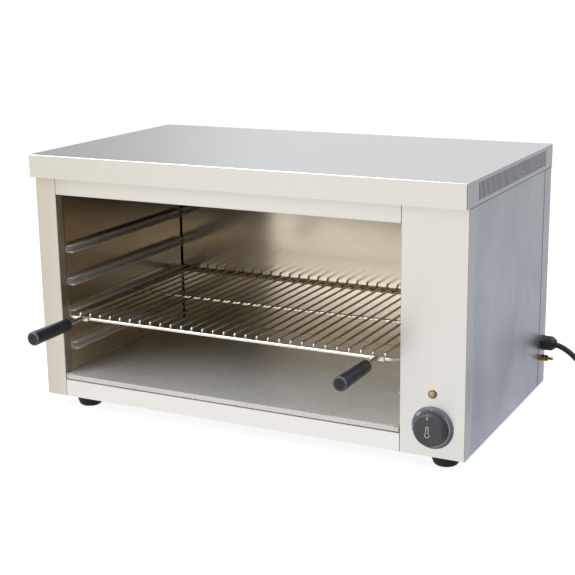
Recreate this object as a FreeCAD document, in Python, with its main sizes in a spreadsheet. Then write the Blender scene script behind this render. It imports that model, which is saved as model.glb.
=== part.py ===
import FreeCAD, Part
import math
import os
import re
import Sketcher

# Cheese melter: a countertop grill with heaters under its roof, a wire rack on side rails and a crumb tray.
# Build frame: X to the right, 0 in the middle of the casing; Y to the back, 0 at the casing's front face;
# Z up, 0 at the casing's lower edge. Each node is then moved so that the origin lies under the middle of
# the whole object, on the surface that the feet stand on.

Vector = FreeCAD.Vector
Rotation = FreeCAD.Rotation
doc = FreeCAD.newDocument("cheese_melter")
sheet = doc.addObject("Spreadsheet::Sheet", "sizes")

# Driving dimensions in millimetres, by piece. The sheet holds each one under its own alias.
SIZES = {
    "casing": {
        "bodyWidth": 800, "bodyDepth": 443, "bodyHeight": 401, "sheetT": 1.2, "bendR": 1.5, "cutOver": 2,
        "postWidth": 42, "lipDepth": 30, "controlWidth": 109.3, "controlWrap": 28, "rearWrap": 41.5,
        "seamFlange": 12, "topFlange": 17, "upperRailTall": 31, "sillTall": 31.5, "seamGap": 0.3,
        "panLip": 20, "fitGap": 0.3,
    },
    "lid": {
        "lidTall": 40, "lidFront": 14, "lidSide": 1.2, "lidReturn": 16, "lidCornerR": 2.5, "lidEdgeR": 1.6,
        "ventWide": 2.6, "ventTall": 27.5, "ventLow": 6.5, "ventFirst": 36.5, "ventInset": 44.5,
    },
    "liners": {
        "linerT": 1.0, "linerFrontY": 18, "linerEndInset": 40, "linerRearGap": 5, "ceilingDrop": 9,
        "ceilingFrontY": 10, "floorFlange": 12, "boardT": 6, "boardInset": 30,
    },
    "rails": {
        "railLowTop": 98.3, "railPitch": 59.3, "railTall": 12.5, "railTopWide": 13.6, "railLowWide": 16,
        "railT": 1.2, "railBendR": 2.2,
    },
    "rack": {
        "rackLeftGap": 4.2, "rackRightGap": 2.7, "rackBackGap": 1, "rackFrontY": 2, "rackCornerR": 16,
        "frameR": 3, "wireR": 2, "wireRise": 2.4, "wireInset": 27, "wireBendR": 4, "pegTall": 5.6,
        "weldSink": 0.3,
    },
    "handles": {
        "handleInset": 37.85, "bracketWide": 24, "bracketTall": 7.6, "bracketT": 3, "stemR": 4,
        "stemReach": 43, "stemSink": 20, "gripR": 11, "gripEndR": 12.1, "gripLong": 98, "gripNoseR": 4,
        "gripTailR": 2.5, "capR": 8.9, "capDeep": 4, "capShow": 0.4,
    },
    "tray": {
        "trayT": 1.2, "trayLip": 8, "trayBackGap": -4, "traySideGap": 1.5, "trayMargin": 17,
        "trayRise": 1.5, "trayTopZ": 41.5,
    },
    "heaters": {
        "heaterR": 4.1, "heaterDrop": 11.5, "heaterFirstY": 82, "heaterEndInset": 81, "heaterSpread": 27,
        "heaterLeft": 22, "heaterTail": 30, "bushR": 8, "bushT": 7, "bushSleeveR": 6, "bushSleeve": 4,
        "heaterGap": 0.1, "pinR": 2, "pinLong": 16, "beadR": 3.6, "beadLong": 6, "strapWide": 12,
        "strapT": 1.5, "strapFirst": 3, "strapApart": 6, "hangerX": 60, "hangerT": 1.5, "hangerLow": 7,
        "hangerFoot": 14,
    },
    "dial": {
        "knobInset": 53.6, "knobZ": 49, "bezelR": 35, "bezelT": 4.6, "bezelEdgeR": 1.6, "bezelBoreR": 12,
        "knobR": 27, "knobNoseR": 25.4, "knobProud": 20, "knobEdgeR": 2.2, "knobGap": 0.5,
        "spindleR": 3, "spindleGap": 0.05, "spindleLong": 24, "spindleInKnob": 10, "knobBoreGap": 0.02,
        "sleeveR": 5, "sleeveOut": 3.4, "sleeveHoleGap": 0.2, "nutAcross": 14, "nutT": 2.4,
        "bodyWide": 44, "bodyTall": 40, "bodyDeep": 26,
    },
    "lamp": {
        "lampInset": 54.3, "lampZ": 104, "lampRingR": 7, "lampRingT": 2, "lampBarrelR": 4.8,
        "lampRingEdgeR": 0.8, "lampLong": 24, "lampLensR": 4.9, "lampLensTall": 3, "lampNutAcross": 13,
        "lampNutT": 3,
        "lampHoleGap": 0.2,
    },
    "feet": {
        "footTall": 24, "footR": 24.5, "footBaseR": 19.5, "footEdgeR": 5, "footInsetX": 54.5,
        "footShiftX": 9.7, "footInsetY": 40.6, "footHoleR": 3.4, "footPocketR": 7, "footPocket": 9,
        "screwR": 3, "screwHeadR": 5.6, "screwHeadT": 3.6, "screwLong": 24, "footNutAcross": 10,
        "footNutT": 5,
    },
    "gland": {
        "glandBack": 15.5, "glandZ": 77.5, "glandAcross": 25, "glandFlangeT": 6, "glandDomeT": 12,
        "glandNoseT": 6.6, "glandNoseR": 8.2, "glandDomeR": 13.2, "glandThreadR": 9.8, "glandInside": 12,
        "glandHoleGap": 0.2, "glandNutAcross": 26, "glandNutT": 4, "glandMouth": 9, "glandMouthR": 7.4,
        "glandGap": 0.1,
    },
    "bonding": {
        "studBack": 20.5, "studZ": 50, "studR": 2.9, "studReach": 21.5, "studInside": 12,
        "studNutAcross": 10, "studNutT": 4.6, "studWasherR": 6, "studWasherT": 1.2, "studSpringT": 1.6,
        "studHoleGap": 0.2, "studTipR": 2.5,
    },
    "compartment": {
        "blockWide": 40, "blockDeep": 22, "blockTall": 24, "blockBack": 90, "blockInset": 30,
        "bulbR": 3, "bulbLong": 90, "bulbInset": 153, "bulbDrop": 37, "bulbOff": 8, "capillaryR": 1,
        "clipT": 1, "clipWide": 8, "wireCoverR": 1.6, "backScrewR": 2, "backScrewHeadR": 3.8,
        "backScrewHeadT": 2.2, "backScrewLong": 8, "backScrewZ": 10, "backScrewInset": 70,
    },
    "cord": {
        "cordR": 5, "coilWideR": 63, "coilPitch": 10.8, "coilOutX": 200, "coilOutY": -68,
        "cordTail": 10, "cordLead": 24, "floorGap": 0.1,
    },
    "plug": {
        "plugR": 18.4, "plugLong": 34, "plugNeckR": 9, "plugBootLong": 34,
        "plugBootR": 6.4, "plugEdgeR": 2.5, "pinsR": 2.4, "pinsLong": 19, "pinsSpread": 9.5,
    },
}
COUNTS = {"railCount": 4, "rackLevel": 1, "wireCount": 29, "heaterCount": 3, "ventCount": 60,
          "coilTurns": 4.3333}
ANGLES = {"coilStartAngle": 90}

# Places worked out from the driving dimensions, as formulas in the sheet.
PLACES = {
    "sideX": "bodyWidth / 2",
    "innerX": "sideX - sheetT",
    "innerBackY": "bodyDepth - sheetT",
    "postX": "-sideX + postWidth",
    "controlX": "sideX - controlWidth",
    "cavityLeft": "postX + linerT",
    "cavityRight": "controlX + sheetT",
    "ceilingZ": "bodyHeight - ceilingDrop",
    "floorZ": "sillTall + linerT",
    "linerEndY": "bodyDepth - linerEndInset",
    "linerBackY": "linerEndY + linerRearGap",
    "rackLeft": "cavityLeft + rackLeftGap",
    "rackWide": "cavityRight - rackRightGap - rackLeft",
    "wirePitch": "(rackWide - 2 * wireInset) / (wireCount - 1)",
    "handleSpread": "rackWide / 2 - handleInset",
    "rackMidX": "rackLeft + rackWide / 2",
    "rackRestZ": "railLowTop + rackLevel * railPitch - railTall + railT",
    "rackZ": "rackRestZ + fitGap + frameR",
    "rackBackY": "linerEndY - rackBackGap",
    "trayBackY": "linerEndY - trayBackGap",
    "gripStartY": "-stemReach",
    "gripEndY": "-stemReach - gripLong",
    "heaterZ": "ceilingZ - heaterDrop",
    "heaterPitchY": "(linerEndY - heaterEndInset - heaterFirstY) / (heaterCount - 1)",
    "bulbY": "linerEndY - bulbInset",
    "bulbZ": "ceilingZ - bulbDrop",
    "ventLast": "bodyDepth - ventInset",
    "backScrewSpread": "sideX - backScrewInset",
    "coilX": "sideX + coilOutX",
    "coilY": "bodyDepth + coilOutY",
    "knobX": "sideX - knobInset",
    "lampX": "sideX - lampInset",
    "glandY": "bodyDepth - glandBack",
    "studY": "bodyDepth - studBack",
    "glandTipX": "sideX + glandFlangeT + glandDomeT + glandNoseT",
    "lidTopZ": "bodyHeight + lidTall",
    "frontmostY": "gripEndY - capShow",
    "rearmostY": "bodyDepth + backScrewHeadT",
    "originX": "(glandTipX - sideX - lidSide) / 2",
    "originY": "(rearmostY + frontmostY) / 2",
}

row = 1
for group in list(SIZES.values()) + [COUNTS, ANGLES]:
    for alias, number in group.items():
        sheet.set(f"A{row}", alias)
        sheet.set(f"B{row}", str(number))
        sheet.setAlias(f"B{row}", alias)
        row += 1
doc.recompute()
for alias, formula in PLACES.items():
    sheet.set(f"A{row}", alias)
    sheet.set(f"B{row}", "=" + formula)
    sheet.setAlias(f"B{row}", alias)
    row += 1
doc.recompute()


def size(alias):
    return float(sheet.get(alias))


def bind(thing, prop, formula):
    # every word of a formula is a cell of the sheet
    thing.setExpression(prop, re.sub(r"\b([a-z]\w*)", r"sizes.\1", str(formula)))


NODES = []


def node(name, thing, centre=("0", "0", "0")):
    # names a finished sub-part and moves it from the build frame, or from its own axis, to its place
    if thing.TypeId in ("Part::Box", "Part::Cylinder"):
        thing = grouped(f"{name}_whole", [thing])
    thing.Label = name
    for axis, place, origin in zip("xyz", centre, ("- originX", "- originY", "+ footTall")):
        bind(thing, f"Placement.Base.{axis}", f"{place} {origin}")
    NODES.append(thing)
    return thing


def shaped(name, shape):
    thing = doc.addObject("Part::Feature", name)
    thing.Shape = shape
    return node(name, thing)


# Part primitives, each placed by its low and high ends along the axes

def box(name, x, y, z):
    thing = doc.addObject("Part::Box", name)
    for prop, axis, (low, high) in zip(("Length", "Width", "Height"), "xyz", (x, y, z)):
        bind(thing, prop, f"({high}) - ({low})")
        bind(thing, f"Placement.Base.{axis}", low)
    return thing


TURN_TO = {
    "x": Rotation(Vector(0, 1, 0), 90),
    "y": Rotation(Vector(-1, 0, 0), 90),
    "z": Rotation(),
}


def along(thing, axis, span, places):
    thing.Placement = FreeCAD.Placement(Vector(), TURN_TO[axis])
    low, high = span
    bind(thing, "Height", f"({high}) - ({low})")
    for name, place in {axis: low, **places}.items():
        bind(thing, f"Placement.Base.{name}", place)
    return thing


def rod(name, axis, radius, span, **places):
    thing = doc.addObject("Part::Cylinder", name)
    bind(thing, "Radius", radius)
    return along(thing, axis, span, places)


def hexagon(name, axis, across, span, **places):
    thing = doc.addObject("Part::Prism", name)
    thing.Polygon = 6
    bind(thing, "Circumradius", f"({across}) / 3 ^ 0.5")
    return along(thing, axis, span, places)


def joined(name, parts):
    thing = doc.addObject("Part::MultiFuse", name)
    thing.Shapes = parts
    thing.Refine = True
    return thing


def grouped(name, parts):
    thing = doc.addObject("Part::Compound", name)
    thing.Links = parts
    return thing


def cut(name, base, tools):
    thing = doc.addObject("Part::Cut", name)
    thing.Base = base
    thing.Tool = tools[0] if len(tools) == 1 else joined(name + "_tools", tools)
    return thing


# PartDesign bodies: folded sheet metal, turned pieces and their cuts

same_place = 1e-4
same_way_share = 0.999


def origin_item(body, role):
    return [item for item in body.Origin.OriginFeatures if item.Role == role][0]


def outline(body, role, points, offset="0"):
    # a closed outline on one of the body's own planes; both coordinates of each corner are bound
    sketch = body.newObject("Sketcher::SketchObject", body.Name + "_outline")
    sketch.AttachmentSupport = [(origin_item(body, role), "")]
    sketch.MapMode = "FlatFace"
    bind(sketch, "AttachmentOffset.Base.z", offset)
    count = len(points)
    guess = [Vector(math.cos(math.tau * i / count), math.sin(math.tau * i / count), 0) for i in range(count)]
    lines = [Part.LineSegment(guess[i], guess[(i + 1) % count]) for i in range(count)]
    sketch.addGeometry(lines, False)
    start, end, sketch_origin = 1, 2, -1
    for i in range(count):
        sketch.addConstraint(Sketcher.Constraint("Coincident", i, end, (i + 1) % count, start))
    for i, corner in enumerate(points):
        for kind, formula in zip(("DistanceX", "DistanceY"), corner):
            place = sketch.addConstraint(Sketcher.Constraint(kind, sketch_origin, start, i, start, 0.0))
            bind(sketch, f"Constraints[{place}]", formula)
    doc.recompute()
    return sketch


def rounded(body, feature, corners, radius):
    # rounds the edges that start or end at the given corners and run straight or round, not in the outline
    edges = []
    for i, edge in enumerate(feature.Shape.Edges):
        ends = [vertex.Point for vertex in edge.Vertexes]
        for corner, direction in corners:
            at_corner = min(end.distanceToPoint(corner) for end in ends) < same_place
            circle = edge.Curve.TypeId == "Part::GeomCircle"
            if direction is None:
                wanted = circle
            else:
                heading = edge.tangentAt(edge.FirstParameter)
                wanted = not circle and abs(heading.dot(direction)) > same_way_share
            if at_corner and wanted:
                edges.append(f"Edge{i + 1}")
    if not edges:
        raise ValueError(f"{body.Name}: no edge to round")
    thing = body.newObject("PartDesign::Fillet", body.Name + "_round")
    thing.Base = (feature, sorted(set(edges)))
    bind(thing, "Radius", radius)
    doc.recompute()
    return thing


STEPS = {"+x": (1, 0), "-x": (-1, 0), "+y": (0, 1), "-y": (0, -1)}


def folded(name, role, start, moves, span, side=1, thick="sheetT", bend="bendR"):
    # a bent sheet: its outer face walks from start by the moves, and its thickness lies to the right
    # (side 1) or left (side -1) of the walk; span is the stretch across the outline
    outer, places = [start], start
    for way, length in moves:
        dx, dy = STEPS[way]
        places = tuple(f"{at} + ({d} * ({length}))" if d else at for at, d in zip(places, (dx, dy)))
        outer.append(places)
    ways = [STEPS[way] for way, length in moves]
    rights = [(side * dy, -side * dx) for dx, dy in ways]
    inner = []
    for i, (u, v) in enumerate(outer):
        touching = {rights[max(i - 1, 0)], rights[min(i, len(rights) - 1)]}
        across, up = (sum(part) for part in zip(*touching))
        inner.append((f"{u} + ({across} * {thick})", f"{v} + ({up} * {thick})"))
    body = doc.addObject("PartDesign::Body", name)
    low, high = span
    offset = f"-({low})" if role == "XZ_Plane" else low
    sketch = outline(body, role, outer + inner[::-1], offset)
    pad = body.newObject("PartDesign::Pad", name + "_sheet")
    pad.Profile = sketch
    pad.Reversed = role == "XZ_Plane"
    bind(pad, "Length", f"({high}) - ({low})")
    sketch.Visibility = False
    doc.recompute()
    if bend and len(outer) > 2:
        across = sketch.Placement.Rotation.multVec(Vector(0, 0, 1))
        corners = []
        for i in range(1, len(outer) - 1):
            turn = ways[i - 1][0] * ways[i][1] - ways[i - 1][1] * ways[i][0]
            keep = sketch.Geometry[i].StartPoint
            if turn * side > 0:
                keep = sketch.Geometry[2 * len(outer) - 1 - i].StartPoint
            corners.append((sketch.Placement.multVec(keep), across))
        rounded(body, pad, corners, bend)
    return body


def turned(name, profile, axis="y", rounds=()):
    # a turned piece: corners are (radius, place along the axis); rounds are (corner number, radius)
    body = doc.addObject("PartDesign::Body", name)
    role = "XZ_Plane" if axis == "z" else "XY_Plane"
    points = [(along_axis, radius) for radius, along_axis in profile] if axis == "x" else profile
    sketch = outline(body, role, points)
    spin = body.newObject("PartDesign::Revolution", name + "_turned")
    spin.Profile = sketch
    spin.ReferenceAxis = (sketch, ["H_Axis" if axis == "x" else "V_Axis"])
    spin.Angle = 360
    sketch.Visibility = False
    doc.recompute()
    last = spin
    for corner, radius in rounds:
        place = sketch.Placement.multVec(sketch.Geometry[corner].StartPoint)
        last = rounded(body, last, [(place, None)], radius)
    return body


def rounded_block(name, x, y, z, radius):
    # a block whose upright edges are rounded
    body = doc.addObject("PartDesign::Body", name)
    block = body.newObject("PartDesign::AdditiveBox", name + "_block")
    for prop, axis, (low, high) in zip(("Length", "Width", "Height"), "xyz", (x, y, z)):
        bind(block, prop, f"({high}) - ({low})")
        bind(block, f"Placement.Base.{axis}", low)
    doc.recompute()
    bound = block.Shape.BoundBox
    corners = [Vector(x, y, bound.ZMin) for x in (bound.XMin, bound.XMax) for y in (bound.YMin, bound.YMax)]
    rounded(body, block, [(corner, Vector(0, 0, 1)) for corner in corners], radius)
    return body


def drilled(body, axis, radius, span, **places):
    hole = body.newObject("PartDesign::SubtractiveCylinder", body.Name + "_hole")
    bind(hole, "Radius", radius)
    along(hole, axis, span, places)
    doc.recompute()
    return hole


def notched(body, x, y, z):
    notch = body.newObject("PartDesign::SubtractiveBox", body.Name + "_notch")
    for prop, axis, (low, high) in zip(("Length", "Width", "Height"), "xyz", (x, y, z)):
        bind(notch, prop, f"({high}) - ({low})")
        bind(notch, f"Placement.Base.{axis}", low)
    doc.recompute()
    return notch


# Tubes along a route: straight runs joined by tangent arcs

def arc_route(points, radii):
    edges, last = [], points[0]
    for before, corner, after, radius in zip(points, points[1:], points[2:], radii):
        back = (before - corner).normalize()
        ahead = (after - corner).normalize()
        half = (math.pi - back.getAngle(ahead)) / 2
        reach = radius * math.tan(half)
        bisector = (back + ahead).normalize()
        enter, leave = corner + back * reach, corner + ahead * reach
        middle = corner + bisector * (radius / math.cos(half) - radius)
        edges.append(Part.LineSegment(last, enter).toShape())
        edges.append(Part.Arc(enter, middle, leave).toShape())
        last = leave
    edges.append(Part.LineSegment(last, points[-1]).toShape())
    return Part.Wire(edges)


def free_radii(points):
    # each arc is as large as its two runs allow
    share = 0.45
    radii = []
    for before, corner, after in zip(points, points[1:], points[2:]):
        run = min((corner - before).Length, (after - corner).Length)
        half = (corner - before).getAngle(after - corner) / 2
        radii.append(share * run / math.tan(half))
    return radii


def tube(wire, radius):
    start = wire.Edges[0]
    heading = start.tangentAt(start.FirstParameter)
    ring = Part.Wire(Part.makeCircle(radius, start.valueAt(start.FirstParameter), heading))
    shape = wire.makePipeShell([ring], True, False)
    allowed_share = 0.01
    if not shape.isValid() or abs(shape.Volume / (math.pi * radius ** 2 * wire.Length) - 1) > allowed_share:
        raise ValueError("a tube does not hold its section times its length")
    return shape


# Casing

def clear_pan(body, x, y):
    # a flange or return ends above the base pan's lip
    notched(body, x, y, ("-cutOver", "panLip + fitGap"))


def casing():
    # the left side is one sheet: seam flange, side, front post and the post's return lip
    left = folded("left_side_shell", "XY_Plane", ("postX", "lipDepth"),
                  [("-y", "lipDepth"), ("-x", "postWidth"), ("+y", "bodyDepth - rearWrap"),
                   ("+x", "seamFlange")],
                  ("0", "bodyHeight"))
    rear_seam, front_seam = "bodyDepth - rearWrap", "controlWrap"
    flange_left = ("-innerX", "-sideX + seamFlange + cutOver")
    flange_right = ("sideX - seamFlange - cutOver", "innerX")
    behind_face = ("sheetT", "lipDepth + cutOver")
    clear_pan(left, flange_left, (f"{rear_seam} - sheetT - fitGap", rear_seam))
    clear_pan(left, ("postX - sheetT", "postX + cutOver"), behind_face)
    node("left_side_shell", left)

    control = folded("control_panel", "XY_Plane", ("controlX", "lipDepth"),
                     [("-y", "lipDepth"), ("+x", "controlWidth"), ("+y", "controlWrap"),
                      ("-x", "seamFlange")],
                     ("0", "bodyHeight"), side=-1)
    across = ("-cutOver", "sheetT + cutOver")
    drilled(control, "y", "sleeveR + sleeveHoleGap", across, x="knobX", z="knobZ")
    drilled(control, "y", "lampBarrelR + lampHoleGap", across, x="lampX", z="lampZ")
    clear_pan(control, flange_right, (f"{front_seam} - sheetT - fitGap", front_seam))
    clear_pan(control, ("controlX - cutOver", "controlX + sheetT"), behind_face)
    node("control_panel", control)

    side = folded("right_side_panel", "XY_Plane", ("sideX - seamFlange", "controlWrap"),
                  [("+x", "seamFlange"), ("+y", "bodyDepth - rearWrap - controlWrap"), ("-x", "seamFlange")],
                  ("0", "bodyHeight"), side=-1)
    clear_pan(side, flange_right, (front_seam, f"{front_seam} + sheetT + fitGap"))
    clear_pan(side, flange_right, (f"{rear_seam} - sheetT - fitGap", rear_seam))
    node("right_side_panel", side)

    rear = folded("rear_panel", "XY_Plane", ("-sideX + seamFlange", "bodyDepth - rearWrap"),
                  [("-x", "seamFlange"), ("+y", "rearWrap"), ("+x", "bodyWidth"), ("-y", "rearWrap"),
                   ("-x", "seamFlange")], ("0", "bodyHeight"))
    for flange in (flange_left, flange_right):
        clear_pan(rear, flange, (rear_seam, f"{rear_seam} + sheetT + fitGap"))
    out = ("innerX - cutOver", "sideX + cutOver")
    drilled(rear, "x", "glandThreadR + glandHoleGap", out, y="glandY", z="glandZ")
    drilled(rear, "x", "studR + studHoleGap", out, y="studY", z="studZ")
    for side_share in (-1, 0, 1):
        drilled(rear, "y", "backScrewR + fitGap / 2", ("innerBackY - cutOver", "bodyDepth + cutOver"),
                x=f"{side_share} * backScrewSpread", z="backScrewZ")
    node("rear_panel", rear)

    # the base pan stands on the feet; its lips lie inside the casing
    pan = rounded_block("pan_sheet", ("-innerX", "innerX"), ("sheetT", "innerBackY"), ("0", "panLip"),
                        "bendR")
    notched(pan, ("-innerX + sheetT", "innerX - sheetT"), ("2 * sheetT", "innerBackY - sheetT"),
            ("sheetT", "panLip + cutOver"))
    holes = []
    for x_side in (-1, 1):
        for y_place in ("footInsetY", "bodyDepth - footInsetY"):
            holes.append(rod("foot_hole", "z", "footHoleR", ("-cutOver", "sheetT + cutOver"),
                             x=f"{x_side} * (sideX - footInsetX) + footShiftX", y=y_place))
    for side_share in (-1, 0, 1):
        holes.append(rod("back_screw_hole", "y", "backScrewR + fitGap / 2",
                         ("innerBackY - sheetT - cutOver", "innerBackY + cutOver"),
                         x=f"{side_share} * backScrewSpread", z="backScrewZ"))
    node("base_pan", cut("base_pan_drilled", pan, holes))

    rail = folded("upper_front_rail", "YZ_Plane", ("topFlange", "bodyHeight - upperRailTall"),
                  [("-x", "topFlange"), ("+y", "upperRailTall"), ("+x", "topFlange")],
                  ("postX + seamGap", "controlX - seamGap"))
    node("upper_front_rail", rail)
    sill = folded("front_sill", "YZ_Plane", ("0", "0"), [("+y", "sillTall"), ("+x", "lipDepth")],
                  ("postX + seamGap", "controlX - seamGap"))
    node("front_sill", sill)

    screws = []
    for side_share in (-1, 0, 1):
        place = {"x": f"{side_share} * backScrewSpread", "z": "backScrewZ"}
        head = rod("back_screw_head", "y", "backScrewHeadR", ("bodyDepth", "bodyDepth + backScrewHeadT"),
                   **place)
        shank = rod("back_screw_shank", "y", "backScrewR", ("bodyDepth - backScrewLong", "bodyDepth"),
                    **place)
        screws.append(joined("back_screw", [head, shank]))
    node("back_screws", grouped("back_screw_set", screws))


def lid():
    # a pan turned over the casing, with a return all round that rests on the casing's upper edges
    body = rounded_block("top_lid", ("-sideX - lidSide", "sideX + lidSide"), ("-lidFront", "bodyDepth"),
                         ("bodyHeight", "bodyHeight + lidTall"), "lidCornerR")
    upright = body.Tip
    top_z = upright.Shape.BoundBox.ZMax - same_place
    top = [f"Edge{i + 1}" for i, edge in enumerate(upright.Shape.Edges) if edge.BoundBox.ZMin > top_z]
    soft = body.newObject("PartDesign::Fillet", "lid_top_round")
    soft.Base = (upright, top)
    bind(soft, "Radius", "lidEdgeR")
    doc.recompute()
    inner = ("-sideX - lidSide + sheetT", "sideX + lidSide - sheetT")
    notched(body, inner, ("-lidFront + sheetT", "bodyDepth - sheetT"),
            ("bodyHeight + sheetT", "lidTopZ - sheetT"))
    notched(body, ("-sideX + lidReturn", "sideX - lidReturn"), ("lidReturn", "bodyDepth - lidReturn"),
            ("bodyHeight - cutOver", "bodyHeight + 2 * sheetT"))
    slot = notched(body, ("-sideX - lidSide - cutOver", "sideX + lidSide + cutOver"),
                   ("ventFirst", "ventFirst + ventWide"),
                   ("bodyHeight + ventLow", "bodyHeight + ventLow + ventTall"))
    vents = body.newObject("PartDesign::LinearPattern", "lid_vents")
    vents.Originals = [slot]
    vents.Direction = (origin_item(body, "Y_Axis"), [""])
    bind(vents, "Length", "ventLast - ventFirst - ventWide")
    bind(vents, "Occurrences", "ventCount")
    body.Tip = vents
    doc.recompute()
    node("top_lid", body)


# Cavity

def liners():
    heater_ys = heater_places()
    left = box("left_liner_sheet", ("postX", "cavityLeft"), ("linerFrontY", "linerEndY"),
               ("panLip", "ceilingZ"))
    sill_end = box("left_liner_notch", ("postX - cutOver", "cavityLeft + cutOver"),
                   ("linerFrontY - cutOver", "lipDepth + fitGap"), ("panLip - cutOver", "sillTall"))
    node("left_liner", cut("left_liner_notched", left, [sill_end]))
    drills = [rod("heater_hole", "x", "bushSleeveR + fitGap",
                  ("cavityRight - cutOver", "cavityRight + cutOver"),
                  y=place, z="heaterZ") for place in heater_ys]
    drills.append(rod("capillary_hole", "x", "2 * capillaryR",
                      ("cavityRight - cutOver", "cavityRight + cutOver"),
                      y="bulbY + bulbLong + 4 * bulbR", z="bulbZ"))
    right = box("right_liner_sheet", ("cavityRight", "cavityRight + linerT"),
                ("bendR + sheetT + fitGap", "linerEndY"), ("panLip", "ceilingZ"))
    node("right_liner", cut("right_liner_drilled", right, drills))
    rear = folded("rear_liner", "YZ_Plane", ("linerBackY + seamFlange", "sheetT"),
                  [("-x", "seamFlange"), ("+y", "ceilingZ - sheetT")],
                  ("postX", "cavityRight + linerT"), thick="linerT")
    node("rear_liner", rear)
    floor = folded("floor_sheet", "XZ_Plane", ("cavityLeft", "floorZ - floorFlange"),
                   [("+y", "floorFlange"), ("+x", "cavityRight - cavityLeft"), ("-y", "floorFlange")],
                   ("lipDepth + fitGap", "linerBackY"), thick="linerT")
    apron = box("floor_apron", ("cavityLeft + bendR", "controlX - bendR"),
                ("2 * sheetT", "lipDepth + 2 * fitGap"),
                ("sillTall", "floorZ"))
    node("floor_liner", joined("floor_liner_whole", [floor, apron]))
    ceiling = folded("ceiling_reflector", "YZ_Plane", ("ceilingFrontY", "bodyHeight - sheetT"),
                     [("-y", "ceilingDrop - sheetT"), ("+x", "linerBackY + seamFlange - ceilingFrontY")],
                     ("postX", "controlX"), side=-1, thick="linerT", bend=None)
    node("ceiling_reflector", ceiling)
    board = box("board", ("postX + boardInset", "cavityRight - boardInset"),
                ("ceilingFrontY + boardInset", "linerBackY - boardInset"),
                ("ceilingZ + linerT", "ceilingZ + linerT + boardT"))
    node("insulation_board", board)


def rack_rails():
    # shallow channels, open to the cavity, one above the other on each wall
    sides = {"left": ("cavityLeft + railLowWide", "-x", "+x", 1, "linerFrontY"),
             "right": ("cavityRight - railLowWide", "+x", "-x", -1, "lipDepth + fitGap")}
    for name, (tip, to_wall, to_tip, side, front) in sides.items():
        channels = []
        for level in range(int(size("railCount"))):
            top = f"railLowTop + {level} * railPitch"
            moves = [(to_wall, "railLowWide"), ("+y", "railTall"), (to_tip, "railTopWide")]
            channels.append(folded(f"{name}_rail", "XZ_Plane", (tip, f"{top} - railTall"), moves,
                                   (front, "linerEndY"), side=side, thick="railT", bend="railBendR"))
        node(f"rack_rails_{name}", grouped(f"{name}_rail_set", channels))


def heater_places():
    ys = []
    for i in range(int(size("heaterCount"))):
        for sign in ("-", "+"):
            ys.append(f"heaterFirstY + {i} * heaterPitchY {sign} heaterSpread")
    return ys


def heaters():
    spread, z = size("heaterSpread"), size("heaterZ")
    left = size("cavityLeft") + size("heaterLeft") + spread
    end = size("cavityRight") + size("linerT") + size("heaterTail")
    for i in range(int(size("heaterCount"))):
        y = size("heaterFirstY") + i * size("heaterPitchY")
        bend = Part.Arc(Vector(left, y - spread, z), Vector(left - spread, y, z), Vector(left, y + spread, z))
        route = Part.Wire([Part.LineSegment(Vector(end, y - spread, z),
                                            Vector(left, y - spread, z)).toShape(),
                           bend.toShape(),
                           Part.LineSegment(Vector(left, y + spread, z),
                                            Vector(end, y + spread, z)).toShape()])
        shaped(f"heating_element_{i + 1}", tube(route, size("heaterR")))

    # threaded bushes hold the elements' tails in the right liner
    bushes, terminals = [], []
    wall = "cavityRight + linerT"
    tail = "cavityRight + linerT + heaterTail"
    for place in heater_places():
        flange = hexagon("bush_hex", "x", "2 * bushR", (wall, f"{wall} + bushT"), y=place, z="heaterZ")
        sleeve = rod("bush_sleeve", "x", "bushSleeveR", ("cavityRight - bushSleeve", wall), y=place,
                     z="heaterZ")
        bore = rod("bush_bore", "x", "heaterR + heaterGap",
                   ("cavityRight - 2 * bushSleeve", f"{wall} + 2 * bushT"),
                   y=place, z="heaterZ")
        bushes.append(cut("bush", joined("bush_blank", [flange, sleeve]), [bore]))
        bead = rod("bead", "x", "beadR", (tail, f"{tail} + beadLong"), y=place, z="heaterZ")
        pin = rod("pin", "x", "pinR", (f"{tail} + beadLong", f"{tail} + beadLong + pinLong"),
                  y=place, z="heaterZ")
        terminals.append(joined("terminal", [bead, pin]))
    node("element_bushes", grouped("element_bush_set", bushes))
    node("element_terminals", grouped("element_terminal_set", terminals))

    # a strap links the pins of all elements on each side of the supply; it clears the other side's pins
    straps = []
    last = int(size("heaterCount")) - 1
    for i, sign in enumerate("-+"):
        strap_x = f"{tail} + beadLong + strapFirst + {i} * strapApart"
        ys = [f"heaterFirstY + {level} * heaterPitchY {sign} heaterSpread" for level in range(last + 1)]
        plate = box("strap_plate", (strap_x, f"{strap_x} + strapT"),
                    (f"{ys[0]} - strapWide / 2", f"{ys[-1]} + strapWide / 2"),
                    ("heaterZ - strapWide / 2", "heaterZ + strapWide / 2"))
        bores = []
        for place in heater_places():
            radius = "pinR + heaterGap" if place in ys else "strapWide / 3"
            bores.append(rod("strap_bore", "x", radius,
                             (f"{strap_x} - cutOver", f"{strap_x} + strapT + cutOver"),
                             y=place, z="heaterZ"))
        straps.append(cut("strap", plate, bores))
    node("element_straps", grouped("element_strap_set", straps))

    # a hanger under the roof carries the bent ends
    hanger_x = "cavityLeft + heaterLeft + hangerX"
    plate = folded("hanger_sheet", "XZ_Plane", (f"{hanger_x} + hangerFoot", "ceilingZ"),
                   [("-x", "hangerFoot"), ("-y", "heaterDrop + heaterR + hangerLow")],
                   ("heaterFirstY - heaterSpread - 4 * heaterR",
                    f"heaterFirstY + {last} * heaterPitchY + heaterSpread + 4 * heaterR"), side=-1,
                    thick="hangerT")
    bore_span = (f"{hanger_x} - cutOver", f"{hanger_x} + hangerT + cutOver")
    bores = [rod("hanger_bore", "x", "heaterR + heaterGap", bore_span, y=place, z="heaterZ")
             for place in heater_places()]
    node("element_hanger", cut("hanger_drilled", plate, bores))


# Rack and tray

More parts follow.
